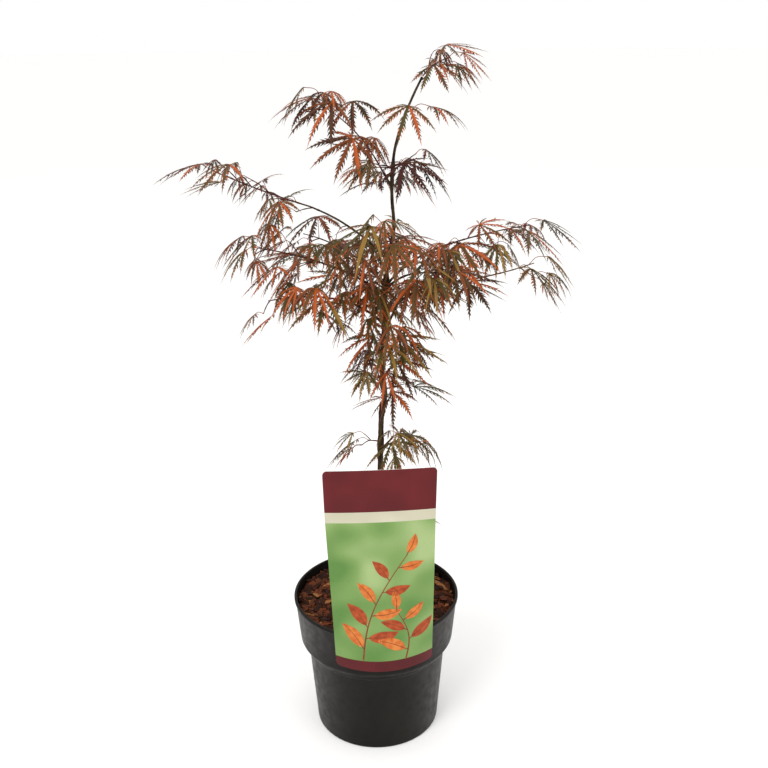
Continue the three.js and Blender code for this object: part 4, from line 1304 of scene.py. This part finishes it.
def blade_frame(lobe, shares):
    """Points along a rib, with the rib's direction, the blade's across direction and its normal there."""
    points = lobe["rib"].point(shares)
    tangents = lobe["rib"].tangent(shares)
    across = lobe["across"] - tangents * (tangents @ lobe["across"])[:, None]
    across = turned(unit(across), tangents, lobe["twist"] * shares)
    return points, tangents, across, np.cross(tangents, across)


AXIS_FACES = grid_faces(AXIS_STATIONS, 3, False)


def axis_blade(lobe):
    """The blade along a lobe's rib: two strips that meet in a shallow fold."""
    shares = np.linspace(0, 1, AXIS_STATIONS)
    points, _, across, normals = blade_frame(lobe, shares)
    half_widths = (profile_at(AXIS_PROFILE, shares) * lobe["length"])[:, None]
    lift = normals * half_widths * AXIS_FOLD
    aside = across * half_widths
    return np.stack([points - aside + lift, points, points + aside + lift], axis=1), AXIS_FACES


def lobule_blades(lobe, draw):
    """The lobules on both sides of a lobe, each a narrow toothed blade, with its place along the lobe."""
    blades = []
    for side in (-1, 1):
        shift = (LOBULE_SHIFT + side * LOBULE_STAGGER) / LOBULE_PAIRS
        shares = np.linspace(*LOBULE_SPAN, LOBULE_PAIRS) + shift
        shares += draw.uniform(-LOBULE_PLACE_SPREAD, LOBULE_PLACE_SPREAD, LOBULE_PAIRS)
        points, tangents, across, normals = blade_frame(lobe, shares)
        lengths = profile_at(LOBULE_PROFILE, shares) * lobe["length"]
        lengths = (lengths * draw.uniform(*LOBULE_LENGTH_RANGE, LOBULE_PAIRS))[:, None]
        angles = lerp(*LOBULE_ANGLES, shares)
        angles += draw.uniform(-LOBULE_ANGLE_SPREAD, LOBULE_ANGLE_SPREAD, LOBULE_PAIRS)
        angles = np.radians(angles)[:, None]
        outward = across * side
        lift = normals * draw.uniform(*LOBULE_LIFTS, LOBULE_PAIRS)[:, None]
        along = unit(tangents * np.cos(angles) + outward * np.sin(angles) + lift)
        back = unit(outward * np.cos(angles) - tangents * np.sin(angles))
        half_widths = profile_at(AXIS_PROFILE, shares) * lobe["length"]
        roots = points + outward * half_widths[:, None] * LOBULE_ROOT
        corners = [roots + (along * a + back * b + tangents * c) * lengths for a, b, c in LOBULE_CORNERS]
        order = LOBULE_TRIANGLES if side < 0 else LOBULE_TRIANGLES[:, ::-1]
        blades += [(vertices, order, share) for vertices, share in zip(np.stack(corners, axis=1), shares)]
    return blades


def hub_web(leaf, lobes):
    """The small web that joins a leaf's lobes round its hub."""
    vertices = [leaf.hub]
    faces = []
    for lobe in lobes:
        points, _, across, _ = blade_frame(lobe, np.array([WEB_ALONG]))
        aside = across[0] * WEB_HALF_WIDTH * lobe["length"]
        here = len(vertices)
        vertices += [points[0] - aside, points[0] + aside]
        faces.append((0, here, here + 1))
        if here > 1:
            faces.append((0, here - 1, here))
    return vertices, faces


def add_leaf(leaf, tint, pieces, draw):
    basal = []
    for side, end in ((-1, leaf.lobes[0]), (1, leaf.lobes[-1])):
        length = leaf.size * BASAL_SHARE * draw.uniform(*BASAL_RANGE)
        basal.append(leaf.lobe(end["swing"] + side * leaf.spacing, length, 0))
    lobes = [basal[0], *leaf.lobes, basal[1]]
    _, veins, ends = TINTS[tint]
    pieces[veins].add(*hub_web(leaf, lobes))
    for lobe in lobes:
        own = draw.choice((tint, veins, ends), p=LOBE_TINT_CHANCES)
        _, own_veins, own_ends = TINTS[own]
        pieces[own_veins].add(*axis_blade(lobe))
        for vertices, faces, share in lobule_blades(lobe, draw):
            pieces[own if share < END_ALONG else own_ends].add(vertices, faces)


def make_leaves(plant):
    pieces = {tint: Gathered() for tint in TINTS}
    draw = np.random.default_rng(LEAF_SEED)
    for layout in plant:
        tints = layout["limb"]["tints"].split()
        for leaf in layout["leaves"]:
            palette = PALETTES[tints[-1 if leaf.share > OUTER_LEAF_SHARE else 0]].split()
            add_leaf(leaf, palette[draw.integers(len(palette))], pieces, draw)
    for tint, gathered in pieces.items():
        gathered.make("leaves_" + tint, "leaf", leaf_finish("leaf_" + tint, TINTS[tint][0]), smooth=False)


# Stage


def make_floor():
    turns = np.arange(FLOOR_SIDES) * 2 * math.pi / FLOOR_SIDES
    rim = [(FLOOR_RADIUS * math.cos(turn), FLOOR_RADIUS * math.sin(turn), 0) for turn in turns]
    mesh = bpy.data.meshes.new("floor")
    mesh.from_pydata(rim, [], [list(range(FLOOR_SIDES))])
    finish = Finish("floor", "f4f3f1", 0.8)
    finish.roughness_by(finish.noise(400), 0.75, 0.9)
    set_inputs(finish.shader, {"Emission Color": (1, 1, 1, 1), "Emission Strength": FLOOR_GLOW})
    mesh.materials.append(finish.material)
    add_object("floor", mesh)


def make_lights():
    world = bpy.data.worlds.new("studio")
    world.use_nodes = True
    set_inputs(world.node_tree.nodes["Background"], {"Color": (1, 1, 1, 1), "Strength": 1})
    bpy.context.scene.world = world
    for name, place, target, size, power in LIGHTS:
        light = bpy.data.lights.new(name, "AREA")
        light.shape = "DISK"
        light.size = size
        light.energy = power
        lamp = add_object(name, light)
        lamp.location = place
        lamp.rotation_euler = (Vector(target) - Vector(place)).to_track_quat("-Z", "Y").to_euler()


def make_camera():
    data = bpy.data.cameras.new("camera")
    data.lens = CAMERA_LENS
    data.sensor_width = CAMERA_SENSOR
    data.clip_start, data.clip_end = CAMERA_CLIP
    camera = add_object("camera", data)
    aim = Euler((math.radians(90 - CAMERA_PITCH), 0, 0)).to_matrix()
    roll = Matrix.Rotation(math.radians(CAMERA_ROLL), 3, "Z")
    camera.rotation_euler = (aim @ roll).to_euler()
    camera.location = [value * MM for value in CAMERA_PLACE]
    bpy.context.scene.camera = camera


bpy.context.scene.view_settings.view_transform = "Standard"
make_camera()
make_lights()
make_floor()
make_pot()
make_mulch()
make_card()
plant = lay_out_plant()
make_bark(plant)
make_twigs(plant)
make_leaves(plant)
